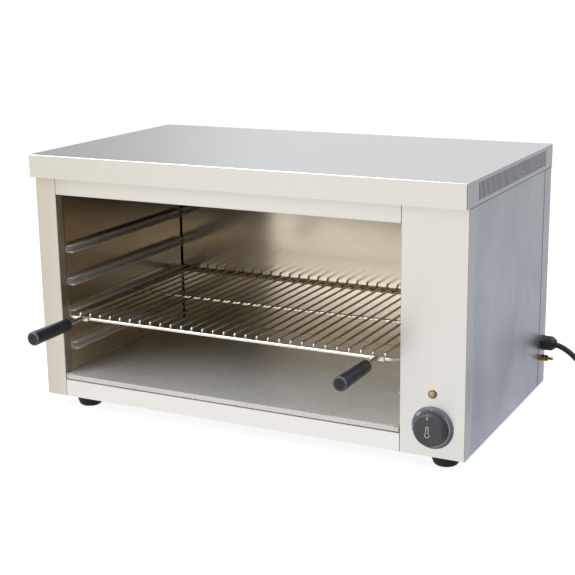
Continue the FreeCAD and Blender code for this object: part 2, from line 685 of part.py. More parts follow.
def wire_rack():
    # a rod frame with rounded corners, a raised middle rod, and wires whose ends turn down behind the frame
    left, right = size("rackLeft") + size("frameR"), size("rackLeft") + size("rackWide") - size("frameR")
    front, back = size("rackFrontY") + size("frameR"), size("rackBackY") - size("frameR")
    z, corner, frame_r, wire_r = size("rackZ"), size("rackCornerR"), size("frameR"), size("wireR")
    cut_back = corner * (1 - math.sqrt(0.5))
    spots = [(left, front, 1, 1), (right, front, -1, 1), (right, back, -1, -1), (left, back, 1, -1)]
    edges = []
    for i, (x, y, sx, sy) in enumerate(spots):
        beside, below = Vector(x + sx * corner, y, z), Vector(x, y + sy * corner, z)
        enter, leave = (below, beside) if i % 2 == 0 else (beside, below)
        edges.append(Part.Arc(enter, Vector(x + sx * cut_back, y + sy * cut_back, z), leave).toShape())
        nx, ny, nsx, nsy = spots[(i + 1) % len(spots)]
        onward = Vector(nx + nsx * corner, ny, z) if i % 2 == 0 else Vector(nx, ny + nsy * corner, z)
        edges.append(Part.LineSegment(leave, onward).toShape())
    half = len(edges) // 2
    frame = tube(Part.Wire(edges[:half]), frame_r).fuse(tube(Part.Wire(edges[half:]), frame_r))
    middle_y = (front + back) / 2
    middle_z = z + size("wireRise")
    middle = Part.makeCylinder(frame_r, right - left, Vector(left, middle_y, middle_z), Vector(1, 0, 0))

    sink, bend, peg = size("weldSink"), size("wireBendR"), size("pegTall")
    wire_z = middle_z + frame_r + wire_r - sink
    low_z = wire_z - bend - peg
    inset = frame_r + wire_r - sink
    near, far = front + inset, back - inset
    count, pitch, middle_x = int(size("wireCount")), size("wirePitch"), size("rackMidX")
    first = middle_x - pitch * (count - 1) / 2
    rise = bend * (1 - math.sqrt(0.5))
    path = Part.Wire([
        Part.LineSegment(Vector(first, near, low_z), Vector(first, near, wire_z - bend)).toShape(),
        Part.Arc(Vector(first, near, wire_z - bend), Vector(first, near + rise, wire_z - rise),
                 Vector(first, near + bend, wire_z)).toShape(),
        Part.LineSegment(Vector(first, near + bend, wire_z), Vector(first, far - bend, wire_z)).toShape(),
        Part.Arc(Vector(first, far - bend, wire_z), Vector(first, far - rise, wire_z - rise),
                 Vector(first, far, wire_z - bend)).toShape(),
        Part.LineSegment(Vector(first, far, wire_z - bend), Vector(first, far, low_z)).toShape()])
    wire = tube(path, wire_r)
    wires = []
    for i in range(count):
        copy = wire.copy()
        copy.translate(Vector(i * pitch, 0, 0))
        wires.append(copy)
    whole = frame.fuse([middle] + wires).removeSplitter()
    if len(whole.Solids) != 1:
        raise ValueError("the welded rack falls apart")
    shaped("wire_rack", whole.Solids[0])


def handles():
    # brackets welded before the front rod, stems welded to them, moulded grips with pressed caps
    brackets, stems = [], []
    for name, sign in (("left", "-"), ("right", "+")):
        x = f"rackMidX {sign} handleSpread"
        low = "rackZ - bracketTall / 2 + frameR / 3"
        brackets.append(box("bracket_plate", (f"{x} - bracketWide / 2", f"{x} + bracketWide / 2"),
                            ("rackFrontY - bracketT", "rackFrontY"), (low, f"{low} + bracketTall")))
        stem_z = "rackZ + frameR / 3"
        stems.append(rod("stem", "y", "stemR", ("gripStartY - stemSink", "rackFrontY - bracketT"), x=x,
                         z=stem_z))
        grip = turned(f"handle_grip_{name}", [
            ("stemR", "gripStartY"), ("gripR", "gripStartY"), ("gripEndR", "gripEndY"),
            ("capR", "gripEndY"), ("capR", "gripEndY + capDeep"), ("0", "gripEndY + capDeep"),
            ("0", "gripStartY - stemSink"), ("stemR", "gripStartY - stemSink")],
            rounds=[(1, "gripNoseR"), (2, "gripTailR")])
        node(f"handle_grip_{name}", grip, (x, "0", stem_z))
        cap = turned(f"grip_end_cap_{name}", [
            ("0", "gripEndY - capShow"), ("capR - fitGap / 2", "gripEndY - capShow"),
            ("capR - fitGap / 2", "gripEndY + capDeep"), ("0", "gripEndY + capDeep")],
            rounds=[(1, "capShow / 2")])
        node(f"grip_end_cap_{name}", cap, (x, "0", stem_z))
    node("handle_brackets", grouped("handle_bracket_pair", brackets))
    node("handle_stems", grouped("handle_stem_pair", stems))


def crumb_tray():
    # one sheet: floor with side margins set up at a slight angle, and lips turned down all round
    body = doc.addObject("PartDesign::Body", "tray_floor")
    left, right = "postX + traySideGap", "controlX - traySideGap"
    low, flat, high = "trayTopZ - trayLip", "trayTopZ", "trayTopZ + trayRise"
    rest = "floorZ + fitGap"
    points = [(left, rest), (left, high), (f"{left} + trayMargin", flat), (f"{right} - trayMargin", flat),
              (right, high), (right, rest), (f"{right} - trayT", rest),
              (f"{right} - trayT", f"{high} - trayT"),
              (f"{right} - trayMargin", f"{flat} - trayT"), (f"{left} + trayMargin", f"{flat} - trayT"),
              (f"{left} + trayT", f"{high} - trayT"), (f"{left} + trayT", rest)]
    sketch = outline(body, "XZ_Plane", points)
    pad = body.newObject("PartDesign::Pad", "tray_sheet")
    pad.Profile = sketch
    pad.Reversed = True
    bind(pad, "Length", "trayBackY")
    sketch.Visibility = False
    doc.recompute()
    corners = [(sketch.Placement.multVec(sketch.Geometry[i].StartPoint), Vector(0, 1, 0)) for i in (1, 4)]
    rounded(body, pad, corners, "trayT")
    lip = box("tray_front_lip", (f"{left} + trayT", f"{right} - trayT"), ("0", "trayT"),
              (low, f"{flat} - trayT"))
    stop = box("tray_back_lip", (f"{left} + trayT", f"{right} - trayT"), ("trayBackY - trayT", "trayBackY"),
               (rest, f"{flat} - trayT"))
    whole = joined("crumb_tray_whole", [body, lip, stop])
    node("crumb_tray", whole)


# Controls

def dial():
    bezel = turned("dial_bezel", [
        ("bezelBoreR", "-bezelT"), ("bezelR", "-bezelT"), ("bezelR", "0"), ("bezelBoreR", "0")],
        rounds=[(1, "bezelEdgeR")])
    node("dial_bezel", bezel, ("knobX", "0", "knobZ"))
    bore = "spindleR + knobBoreGap"
    knob = turned("control_knob", [
        ("0", "-knobProud"), ("knobNoseR", "-knobProud"), ("knobR", "-bezelT - knobGap"),
        (bore, "-bezelT - knobGap"), (bore, "-bezelT - knobGap - spindleInKnob"),
        ("0", "-bezelT - knobGap - spindleInKnob")], rounds=[(1, "knobEdgeR")])
    node("control_knob", knob, ("knobX", "0", "knobZ"))
    tip = "-bezelT - knobGap - spindleInKnob"
    spindle = rod("spindle", "y", "spindleR", (tip, f"{tip} + spindleLong"), x="knobX", z="knobZ")
    node("thermostat_spindle", spindle)
    nut = hexagon("nut_blank", "y", "nutAcross", ("-nutT", "0"), x="knobX", z="knobZ")
    nut_bore = rod("nut_bore", "y", "sleeveR", ("-nutT - cutOver", "cutOver"), x="knobX", z="knobZ")
    node("thermostat_nut", cut("nut", nut, [nut_bore]))
    case = box("thermostat_case", ("knobX - bodyWide / 2", "knobX + bodyWide / 2"),
               ("sheetT", "sheetT + bodyDeep"),
               ("knobZ - bodyTall / 2", "knobZ + bodyTall / 2"))
    sleeve = rod("thermostat_sleeve", "y", "sleeveR", ("-sleeveOut", "2 * sheetT"), x="knobX", z="knobZ")
    well = rod("spindle_well", "y", "spindleR + spindleGap",
               ("-sleeveOut - cutOver", f"{tip} + spindleLong + fitGap"), x="knobX", z="knobZ")
    node("thermostat_body", cut("thermostat", joined("thermostat_blank", [case, sleeve]), [well]))


def pilot_lamp():
    body = turned("pilot_lamp_body", [
        ("0", "lampLong"), ("0", "-lampRingT / 2"), ("lampLensR", "-lampRingT / 2"),
        ("lampLensR", "-lampRingT"),
        ("lampRingR", "-lampRingT"), ("lampRingR", "0"), ("lampBarrelR", "0"), ("lampBarrelR", "lampLong")],
        rounds=[(4, "lampRingEdgeR")])
    node("pilot_lamp_body", body, ("lampX", "0", "lampZ"))
    lens = turned("pilot_lamp_lens", [
        ("0", "-lampRingT / 2"), ("0", "-lampRingT / 2 - lampLensTall"),
        ("lampLensR", "-lampRingT / 2 - lampLensTall"), ("lampLensR", "-lampRingT / 2")],
        rounds=[(2, "lampLensTall / 2")])
    node("pilot_lamp_lens", lens, ("lampX", "0", "lampZ"))
    blank = hexagon("lamp_nut_blank", "y", "lampNutAcross", ("sheetT", "sheetT + lampNutT"), x="lampX",
                    z="lampZ")
    bore = rod("lamp_nut_bore", "y", "lampBarrelR", ("0", "sheetT + lampNutT + cutOver"), x="lampX",
               z="lampZ")
    node("pilot_lamp_nut", cut("lamp_nut", blank, [bore]))


# Feet

def feet():
    screws, nuts = [], []
    for x_name, x_side in (("left", "-"), ("right", "")):
        for y_name, y in (("front", "footInsetY"), ("rear", "bodyDepth - footInsetY")):
            x = f"{x_side}(sideX - footInsetX) + footShiftX"
            foot = turned(f"foot_{y_name}_{x_name}", [
                ("footHoleR", "0"), ("footHoleR", "-footTall + footPocket"),
                ("footPocketR", "-footTall + footPocket"),
                ("footPocketR", "-footTall"), ("footBaseR", "-footTall"), ("footR", "-footTall / 3"),
                ("footR", "0")],
                axis="z", rounds=[(4, "footEdgeR")])
            node(f"foot_{y_name}_{x_name}", foot, (x, y, "0"))
            seat = "-footTall + footPocket"
            head = rod("foot_screw_head", "z", "screwHeadR", (f"{seat} - screwHeadT", seat), x=x, y=y)
            shank = rod("foot_screw_shank", "z", "screwR", (seat, f"{seat} + screwLong"), x=x, y=y)
            screws.append(joined("foot_screw", [head, shank]))
            blank = hexagon("foot_nut_blank", "z", "footNutAcross", ("sheetT", "sheetT + footNutT"), x=x, y=y)
            bore = rod("foot_nut_bore", "z", "screwR", ("0", "sheetT + footNutT + cutOver"), x=x, y=y)
            nuts.append(cut("foot_nut", blank, [bore]))
    node("foot_screws", grouped("foot_screw_set", screws))
    node("foot_nuts", grouped("foot_nut_set", nuts))


# Cable entry and bonding terminal on the rear panel's right return

def gland():
    place = ("0", "glandY", "glandZ")
    at = {"y": "glandY", "z": "glandZ"}
    flange_end = "sideX + glandFlangeT"
    flange = hexagon("gland_flange", "x", "glandAcross", ("sideX", flange_end), **at)
    thread = rod("gland_thread", "x", "glandThreadR", ("sideX - glandInside", flange_end), **at)
    bore = rod("gland_bore", "x", "cordR + glandGap", ("sideX - 2 * glandInside", "glandTipX"), **at)
    node("gland_body", cut("gland_drilled", joined("gland_blank", [flange, thread]), [bore]))

    dome_end = "sideX + glandFlangeT + glandDomeT"
    dome = turned("gland_dome_nut", [
        ("cordR + glandGap", flange_end), ("glandDomeR", flange_end), ("glandDomeR", dome_end),
        ("glandNoseR", "glandTipX"), ("glandMouthR", "glandTipX"),
        ("cordR + glandGap", "glandTipX - glandMouth")],
        axis="x", rounds=[(2, "glandNoseT / 2")])
    node("gland_dome_nut", dome, place)

    nut = hexagon("gland_nut_blank", "x", "glandNutAcross", ("innerX - glandNutT", "innerX"), **at)
    nut_bore = rod("gland_nut_bore", "x", "glandThreadR", ("innerX - 2 * glandNutT", "sideX"), **at)
    node("gland_lock_nut", cut("gland_nut", nut, [nut_bore]))


def bonding_terminal():
    at = {"y": "studY", "z": "studZ"}
    stack_end = "sideX + studWasherT + studNutT + studSpringT + studNutT"
    shank = rod("stud_shank", "x", "studR", ("sideX - studInside", stack_end), **at)
    tip = rod("stud_tip", "x", "studTipR", (stack_end, "sideX + studReach"), **at)
    node("bonding_stud", joined("stud", [shank, tip]))
    stack = []
    edge = "sideX"
    for kind, long in (("washer", "studWasherT"), ("nut", "studNutT"), ("washer", "studSpringT"),
                       ("nut", "studNutT")):
        span = (edge, f"{edge} + {long}")
        if kind == "nut":
            blank = hexagon("stud_nut", "x", "studNutAcross", span, **at)
        else:
            blank = rod("stud_washer", "x", "studWasherR", span, **at)
        bore = rod("stud_bore", "x", "studR", (f"{edge} - cutOver", f"{edge} + {long} + cutOver"), **at)
        stack.append(cut(f"stud_{kind}", blank, [bore]))
        edge = f"{edge} + {long}"
    inner = hexagon("stud_inner_nut", "x", "studNutAcross", ("innerX - studNutT", "innerX"), **at)
    bore = rod("stud_inner_bore", "x", "studR", ("innerX - 2 * studNutT", "sideX"), **at)
    node("bonding_nuts", grouped("bonding_nut_set", stack + [cut("stud_back_nut", inner, [bore])]))


# Wiring compartment behind the control panel

def compartment():
    right = "innerX - blockInset"
    back = "bodyDepth - blockBack"
    block = box("block", (f"{right} - blockWide", right), (f"{back} - blockDeep", back),
                ("sheetT", "sheetT + blockTall"))
    node("terminal_block", block)

    bulb_x = "cavityRight - bulbOff"
    bulb = rod("bulb_tube", "y", "bulbR", ("bulbY", "bulbY + bulbLong"), x=bulb_x, z="bulbZ")
    node("thermostat_bulb", bulb)
    clips = []
    clip_shares = (0.2, 0.8)
    for clip_share in clip_shares:
        y = f"bulbY + {clip_share} * bulbLong"
        span = (f"{y} - clipWide / 2", f"{y} + clipWide / 2")
        ring = rod("clip_ring", "y", "bulbR + clipT", span, x=bulb_x, z="bulbZ")
        arm = box("clip_arm", (bulb_x, "cavityRight"), span, ("bulbZ - clipT / 2", "bulbZ + clipT / 2"))
        hole = rod("clip_hole", "y", "bulbR", (f"{y} - clipWide", f"{y} + clipWide"), x=bulb_x, z="bulbZ")
        clips.append(cut("clip", joined("clip_blank", [ring, arm]), [hole]))
    node("bulb_clips", grouped("bulb_clip_set", clips))

    # the capillary leaves the bulb's back end, turns through the wall and comes down to the thermostat
    x, y, z = size("cavityRight") - size("bulbOff"), size("bulbY") + size("bulbLong"), size("bulbZ")
    step = 4 * size("bulbR")
    far = size("cavityRight") + 2 * step
    case_top = size("knobZ") + size("bodyTall") / 2
    case_y = size("sheetT") + size("bodyDeep") / 2
    case_x = size("knobX") + size("bodyWide") / 3
    points = [Vector(x, y, z), Vector(x, y + step, z), Vector(far, y + step, z), Vector(far, y - 2 * step, z),
              Vector(case_x, case_y + 4 * step, (z + case_top) / 2),
              Vector(case_x, case_y, case_top + 3 * step),
              Vector(case_x, case_y, case_top)]
    bend = step / 2
    bends = [bend] * (len(points) - 2)
    shaped("thermostat_capillary", tube(arc_route(points, bends), size("capillaryR")))

    # four covered wires: two from the cord to the block, and one from the block to each strap of the heaters
    wires = []
    block_top = size("sheetT") + size("blockTall")
    block_x = size("innerX") - size("blockInset") - size("blockWide") / 2
    cord_side = size("bodyDepth") - size("blockBack") - size("blockDeep") / 4
    strap_side = cord_side - size("blockDeep") / 2
    radius = size("wireCoverR")
    strap_x = (size("cavityRight") + size("linerT") + size("heaterTail") + size("beadLong")
               + size("strapFirst") + size("strapT") / 2)
    strap_low = size("heaterZ") - size("strapWide") / 2
    last_y = size("heaterFirstY") + (size("heaterCount") - 1) * size("heaterPitchY")
    for i, sign in enumerate((-1, 1)):
        x = strap_x + i * size("strapApart")
        y = last_y + sign * size("heaterSpread") / 2
        start_x = block_x + sign * size("blockWide") / 4
        points = [Vector(start_x, strap_side, block_top), Vector(start_x, strap_side, block_top + 2 * step),
                  Vector(x, y, strap_low - 4 * step), Vector(x, y, strap_low)]
        wires.append(tube(arc_route(points, [3 * bend] * (len(points) - 2)), radius))
    gland_x, gland_z = size("sideX") - size("glandInside"), size("glandZ")
    for sign in (-1, 1):
        start = Vector(gland_x, size("glandY") + sign * (radius + size("fitGap")), gland_z)
        x = block_x - sign * size("blockWide") / 4
        points = [start, start - Vector(2 * step, 0, 0),
                  Vector(x, cord_side, gland_z - (gland_z - block_top) / 4), Vector(x, cord_side, block_top)]
        wires.append(tube(arc_route(points, free_radii(points)), radius))
    shaped("internal_wires", Part.makeCompound(wires))


# Mains cord, its coil and its plug

def cord_floor():
    # height of the cord's middle where it lies on the surface under the feet
    return size("cordR") + size("floorGap") - size("footTall")


def eased(share):
    # 0 to 1 with a level start and end
    share = min(max(share, 0), 1)
    return share * share * (3 - 2 * share)


def coil_place(turned_by):
    # the lower layer winds in, climbs where it reverses, and the upper layer winds out over it
    turns, pitch, wide = size("coilTurns"), size("coilPitch"), size("coilWideR")
    half_turns = turns / 2
    from_middle = turned_by - half_turns
    inward = abs(from_middle)
    climb_share = 0.25
    if inward < climb_share:
        inward = (inward ** 2 / climb_share + climb_share) / 2
    radius = wide - pitch * (half_turns - inward)
    climbed = eased((from_middle + climb_share) / (2 * climb_share))
    lifted = eased((turned_by - turns + 2 * climb_share) / (2 * climb_share))
    lift = size("plugR") - size("cordR") - pitch
    angle = math.radians(size("coilStartAngle")) - math.tau * turned_by
    return Vector(size("coilX") + radius * math.cos(angle), size("coilY") + radius * math.sin(angle),
                  cord_floor() + pitch * climbed + lift * lifted)


def coil_heading(turned_by):
    near_share = 1e-5
    return (coil_place(turned_by + near_share) - coil_place(turned_by - near_share)).normalize()


def biarc(start, start_way, end, end_way):
    # two arcs that leave and arrive in the given directions and meet smoothly
    across = end - start
    ways = start_way + end_way
    a = 2 * (1 - start_way.dot(end_way))
    b = 2 * across.dot(ways)
    c = -across.dot(across)
    reach = -c / b if abs(a) < same_place ** 2 else (-b + math.sqrt(b * b - 4 * a * c)) / (2 * a)
    first, second = start + start_way * reach, end - end_way * reach
    meet = (first + second) / 2
    edges = []
    for low, corner, high in ((start, first, meet), (meet, second, end)):
        chord_middle = (low + high) / 2
        to_corner = corner - chord_middle
        half = (high - low).Length / 2
        bulge = half * math.tan(math.atan2(to_corner.Length, half) / 2)
        edges.append(Part.Arc(low, chord_middle + to_corner.normalize() * bulge, high).toShape())
    return edges


def mains_cord():
    radius, tail = size("cordR"), size("cordTail")
    tip_x, gland_y, gland_z = size("glandTipX"), size("glandY"), size("glandZ")
    coil_start, way = coil_place(0), coil_heading(0)
    start = coil_start - way * tail
    mouth = tip_x - size("glandMouth")
    # chosen by hand: out of the gland, down beside the casing and onto the floor, then into the coil
    steps = [(0, 0, 0), (12, 0, -1.8), (25, 1.2, -7.5), (38, 3.5, -17), (50, 6.5, -30), (62, 9, -46),
             (76, 10.5, -64), (94, 11, -82), (118, 11, -93.5)]
    route = [Vector(mouth + x, gland_y + y, gland_z + z) for x, y, z in steps]
    route += [start - way * size("cordLead"), start]
    radii = free_radii(route)
    print("cord arc radii in diameters:", [round(r / (2 * radius), 1) for r in radii])
    free = arc_route(route, radii)
    shaped("mains_cord", tube(free, radius))

    turns = size("coilTurns")
    quarters = round(turns * 4)
    marks = [turns * i / quarters for i in range(quarters + 1)]
    edges = [Part.LineSegment(start, coil_start).toShape()]
    for low, high in zip(marks, marks[1:]):
        edges += biarc(coil_place(low), coil_heading(low), coil_place(high), coil_heading(high))
    end = coil_place(turns)
    end_way = coil_heading(turns)
    edges.append(Part.LineSegment(end, end + end_way * tail).toShape())
    winding = Part.Wire(edges)
    shaped("cord_coil", tube(winding, radius))
    points = winding.discretize(Distance=radius / 8)
    apart = 8 * 6
    gap = min(a.distanceToPoint(b) for i, a in enumerate(points[::8])
              for b in points[8 * i + apart::2]) - 2 * radius
    print(f"coil least gap to itself {gap:.2f} mm")
    print(f"coil {winding.Length:.0f} mm, free cord {free.Length:.0f} mm")
    return end + end_way * tail, end_way


def plug(rear, way):
    # lies on the floor beside the coil, in line with the cord's end
    level = Vector(way.x, way.y, 0).normalize()
    turn = Rotation(Vector(1, 0, 0), level)
    place = FreeCAD.Placement(rear, turn)

    def set_down(body, name):
        body.Placement = place
        for axis, origin, at in zip("xyz", ("- originX", "- originY", "+ footTall"), rear):
            bind(body, f"Placement.Base.{axis}", f"{at} {origin}")
        body.Label = name
        NODES.append(body)

    boot_end, face = "plugBootLong", "plugBootLong + plugLong"
    body = turned("plug_body", [
        ("0", "0"), ("plugBootR", "0"), ("plugNeckR", boot_end), ("plugR", f"{boot_end} + plugNeckR"),
        ("plugR", face), ("0", face)], axis="x", rounds=[(4, "plugEdgeR")])
    set_down(body, "plug_body")
    pins = []
    for name, sign in (("line", "-"), ("neutral", "")):
        pin = rod(f"{name}_pin", "x", "pinsR", (face, f"{face} + pinsLong"), y=f"{sign}pinsSpread", z="0")
        pins.append(pin)
    set_down(grouped("plug_pin_set", pins), "plug_pins")


casing()
lid()
liners()
rack_rails()
heaters()
wire_rack()
handles()
crumb_tray()
dial()
pilot_lamp()
feet()
gland()
bonding_terminal()
compartment()
cord_end, cord_way = mains_cord()
plug(cord_end, cord_way)
doc.recompute()

failed = [thing.Name for thing in doc.Objects if "Invalid" in thing.State or "Error" in thing.State]
if failed:
    raise ValueError(f"failed objects: {failed}")
os.makedirs("parts", exist_ok=True)
for thing in NODES:
    shape = thing.Shape
    if shape.isNull() or not shape.isValid() or not shape.Solids:
        raise ValueError(f"{thing.Label} has no valid solid")
    shape.exportStep(f"parts/{thing.Label}.step")
print(len(NODES), "nodes written")
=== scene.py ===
import math

import bmesh
import bpy
from mathutils import Matrix, Vector


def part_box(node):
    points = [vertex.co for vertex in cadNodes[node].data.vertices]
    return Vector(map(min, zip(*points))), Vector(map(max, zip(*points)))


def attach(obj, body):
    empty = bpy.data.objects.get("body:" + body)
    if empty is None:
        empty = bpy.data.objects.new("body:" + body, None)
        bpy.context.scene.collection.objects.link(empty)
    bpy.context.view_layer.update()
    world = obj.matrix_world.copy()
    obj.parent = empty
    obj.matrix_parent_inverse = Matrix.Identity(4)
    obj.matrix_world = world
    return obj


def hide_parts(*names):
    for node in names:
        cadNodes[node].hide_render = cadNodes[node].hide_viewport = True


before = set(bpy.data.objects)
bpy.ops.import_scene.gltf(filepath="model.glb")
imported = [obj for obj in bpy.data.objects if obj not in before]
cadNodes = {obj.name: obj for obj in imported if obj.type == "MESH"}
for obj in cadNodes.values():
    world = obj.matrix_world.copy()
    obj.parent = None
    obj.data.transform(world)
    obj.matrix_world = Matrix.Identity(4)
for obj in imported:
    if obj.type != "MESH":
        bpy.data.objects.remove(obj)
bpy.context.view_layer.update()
print("frame loaded:", len(cadNodes), "nodes")

# lengths below are millimetres on the maker's drawing: x from the casing's middle, y from its front face, z
# from its lower edge
drawingStart = Vector((-11.7, -151.9, 24.0))


def place(x, y, z):
    return (drawingStart + Vector((x, y, z))) / 1000


def sizes(look, *names):
    return [look[name] for name in names]


# the photographer's place, in metres and degrees
view = {"x": 0.98304, "y": -1.91103, "z": 0.77673, "around": 27.089, "above": 14.288, "tilt": -0.802,
        "lens": 79.115, "sensor": 36, "nearest": 0.05}


def addCamera():
    around, above, tilt = (math.radians(angle) for angle in sizes(view, "around", "above", "tilt"))
    back = Vector((math.sin(around) * math.cos(above), -math.cos(around) * math.cos(above), math.sin(above)))
    right = Vector((0, 0, 1)).cross(back).normalized()
    up = back.cross(right)
    across = right * math.cos(tilt) + up * math.sin(tilt)
    upward = up * math.cos(tilt) - right * math.sin(tilt)
    camera = bpy.data.objects.new("photoCamera", bpy.data.cameras.new("photoCamera"))
    turn = Matrix((across, upward, back)).transposed().to_4x4()
    camera.matrix_world = Matrix.Translation((view["x"], view["y"], view["z"])) @ turn
    camera.data.sensor_width = view["sensor"]
    camera.data.lens = view["lens"]
    camera.data.clip_start = view["nearest"]
    bpy.context.scene.collection.objects.link(camera)
    bpy.context.scene.camera = camera


addCamera()
bpy.context.scene.view_settings.view_transform = "Standard"
print("camera placed")


def linear(hexColour):
    parts = [int(hexColour[i:i + 2], 16) / 255 for i in (1, 3, 5)]
    return [c / 12.92 if c <= 0.04045 else ((c + 0.055) / 1.055) ** 2.4 for c in parts] + [1]


def addNode(tree, kind, settings):
    # settings are sockets by name or number, or else the node's own properties
    node = tree.nodes.new("ShaderNode" + kind)
    for name, value in settings.items():
        if isinstance(value, bpy.types.NodeSocket):
            tree.links.new(value, node.inputs[name])
        elif isinstance(name, int) or name in node.inputs:
            node.inputs[name].default_value = value
        else:
            setattr(node, name, value)
    return node


def reckoned(tree, operation, *terms):
    # the terms are numbers or other nodes' outputs
    return addNode(tree, "Math", {"operation": operation, **dict(enumerate(terms))}).outputs[0]


def painted(tree, under, over, share):
    return addNode(tree, "Mix", {"data_type": "RGBA", 7: linear(over), "Factor": share, 6: under}).outputs[2]


def towardsWay(tree, spot, way, start, end):
    # 0 before the start and 1 after the end, measured along a direction
    along = addNode(tree, "VectorMath", {"operation": "DOT_PRODUCT", 1: way, 0: spot}).outputs["Value"]
    return addNode(tree, "MapRange", {
        "interpolation_type": "SMOOTHSTEP", "From Min": start, "From Max": end, "Value": along}).outputs[0]


def connect(tree, shader, sources):
    for socket, source in sources.items():
        tree.links.new(source, shader.inputs[socket])


def newMaterial(name, **settings):
    material = bpy.data.materials.new(name)
    material.use_nodes = True
    shader = material.node_tree.nodes["Principled BSDF"]
    for socket, value in settings.items():
        shader.inputs[socket.replace("_", " ")].default_value = value
    return material, material.node_tree, shader


# Brushed stainless sheet, ground with a belt along its length: reflections smear across the grain
sheetSteels = {
    # front sheets: darker and warmer towards the left post, whose inner edge is darker and browner
    "brushedCasingSteel": {
        "colour": "#e9e9e8", "stain": "#e0dfdb", "metal": 1.0, "rough": 0.34, "smear": 0.62, "streak": 0.06,
        "lines": 0.03, "cloud": 3.0, "cloudTall": 1.0, "cloudDepth": 0.30, "wave": 0.0006,
        "lip": {"axis": "X", "facing": 1, "before": 0.0, "colour": "#aea390"},
        "tint": {"along": (-1, 0, 0), "start": 0.30, "end": 0.42, "colour": "#dad6cd"}},
    # the sill's folded top edge is painted dark: painted shade in the joint under the tray's lip
    "brushedSillSteel": {
        "colour": "#f3f3f4", "stain": "#ececed", "metal": 1.0, "rough": 0.28, "smear": 0.62, "streak": 0.06,
        "lines": 0.03, "cloud": 3.0, "cloudTall": 1.0, "cloudDepth": 0.30, "wave": 0.0006,
        "lip": {"axis": "Z", "facing": 1, "before": 1.0, "colour": "#6b6964"}},
    # side and rear sheets, wiped for years: cloudy, cool smears and a slight swell
    "brushedSideSteel": {
        "colour": "#e6e6e7", "stain": "#c3c8d0", "metal": 1.0, "rough": 0.34, "smear": 0.60, "streak": 0.08,
        "lines": 0.08, "cloud": 6.0, "cloudTall": 0.75, "cloudDepth": 0.72, "wave": 0.0016},
    # the lid, wiped clean: long soft reflections
    "brushedLidSteel": {
        "colour": "#eaeae9", "stain": "#e2e3e6", "metal": 1.0, "rough": 0.27, "smear": 0.66, "streak": 0.05,
        "lines": 0.02, "cloud": 2.5, "cloudTall": 1.0, "cloudDepth": 0.30, "wave": 0.0004},
    # smooth bright liner, straw coloured, darker and browner towards the top
    "heatTintedLinerSteel": {
        "colour": "#f4ead9", "stain": "#e2d2b2", "metal": 1.0, "rough": 0.17, "smear": 0.40, "streak": 0.07,
        "lines": 0.10, "cloud": 6.0, "cloudTall": 0.6, "cloudDepth": 0.55, "wave": 0.0010,
        "tint": {"along": (0, 0, 1), "start": 0.14, "end": 0.42, "colour": "#7d7160"}},
    # the back wall sees less heat: pale below; greyed at the top by painted shade
    "paleLinerSteel": {
        "colour": "#fffaf0", "stain": "#fbf0dc", "metal": 1.0, "rough": 0.15, "smear": 0.40, "streak": 0.07,
        "lines": 0.10, "cloud": 6.0, "cloudTall": 0.6, "cloudDepth": 0.55, "wave": 0.0010,
        "tint": {"along": (0.10, 0, 1), "start": 0.228, "end": 0.36, "colour": "#86827a"}},
    # the roof round the heaters: dark brown grey, painted shade of the cavity's top
    "shadedRoofSteel": {
        "colour": "#6e6456", "stain": "#4e463b", "metal": 0.80, "rough": 0.52, "smear": 0.20, "streak": 0.10,
        "lines": 0.10, "cloud": 8.0, "cloudTall": 1.0, "cloudDepth": 0.80, "wave": 0.0004},
    # pressed rails, dulled by the rack, with bright cut ends
    "pressedRailSteel": {
        "colour": "#f0ede6", "stain": "#ddd6c9", "metal": 0.30, "rough": 0.32, "smear": 0.35, "streak": 0.10,
        "lines": 0.10, "cloud": 9.0, "cloudTall": 1.0, "cloudDepth": 0.50, "wave": 0.0004,
        "lip": {"axis": "Y", "facing": -1, "before": 1.0, "colour": "#ffffff"}},
    # the tray, scoured with a pad: pale and speckled, darker and browner towards the back and left as painted
    # shade
    "scouredTraySteel": {
        "colour": "#ffffff", "stain": "#f0efec", "metal": 0.46, "rough": 0.38, "smear": 0.30, "streak": 0.14,
        "lines": 0.30, "cloud": 9.0, "cloudTall": 1.0, "cloudDepth": 0.60, "wave": 0.0008,
        "tint": {"along": (-0.35, 1, 0), "start": -0.10, "end": 0.24, "colour": "#b5a993"}, "specks": 0.34},
}
# a real belt mark is about 0.1 mm wide, drawn at 1.2 mm so that it shows; scouring specks are about 0.5 mm
# wide, drawn at 2 mm
grain = {"long": 120.0, "wide": 1.2, "deep": 0.00012, "speck": 2.0, "dull": "#8d8a84", "swell": 3.5}
stainRougher = 0.06
facesOn = {"X": 0.75, "Y": 0.75, "Z": 0.30}  # how squarely a face looks along an axis to count as facing it


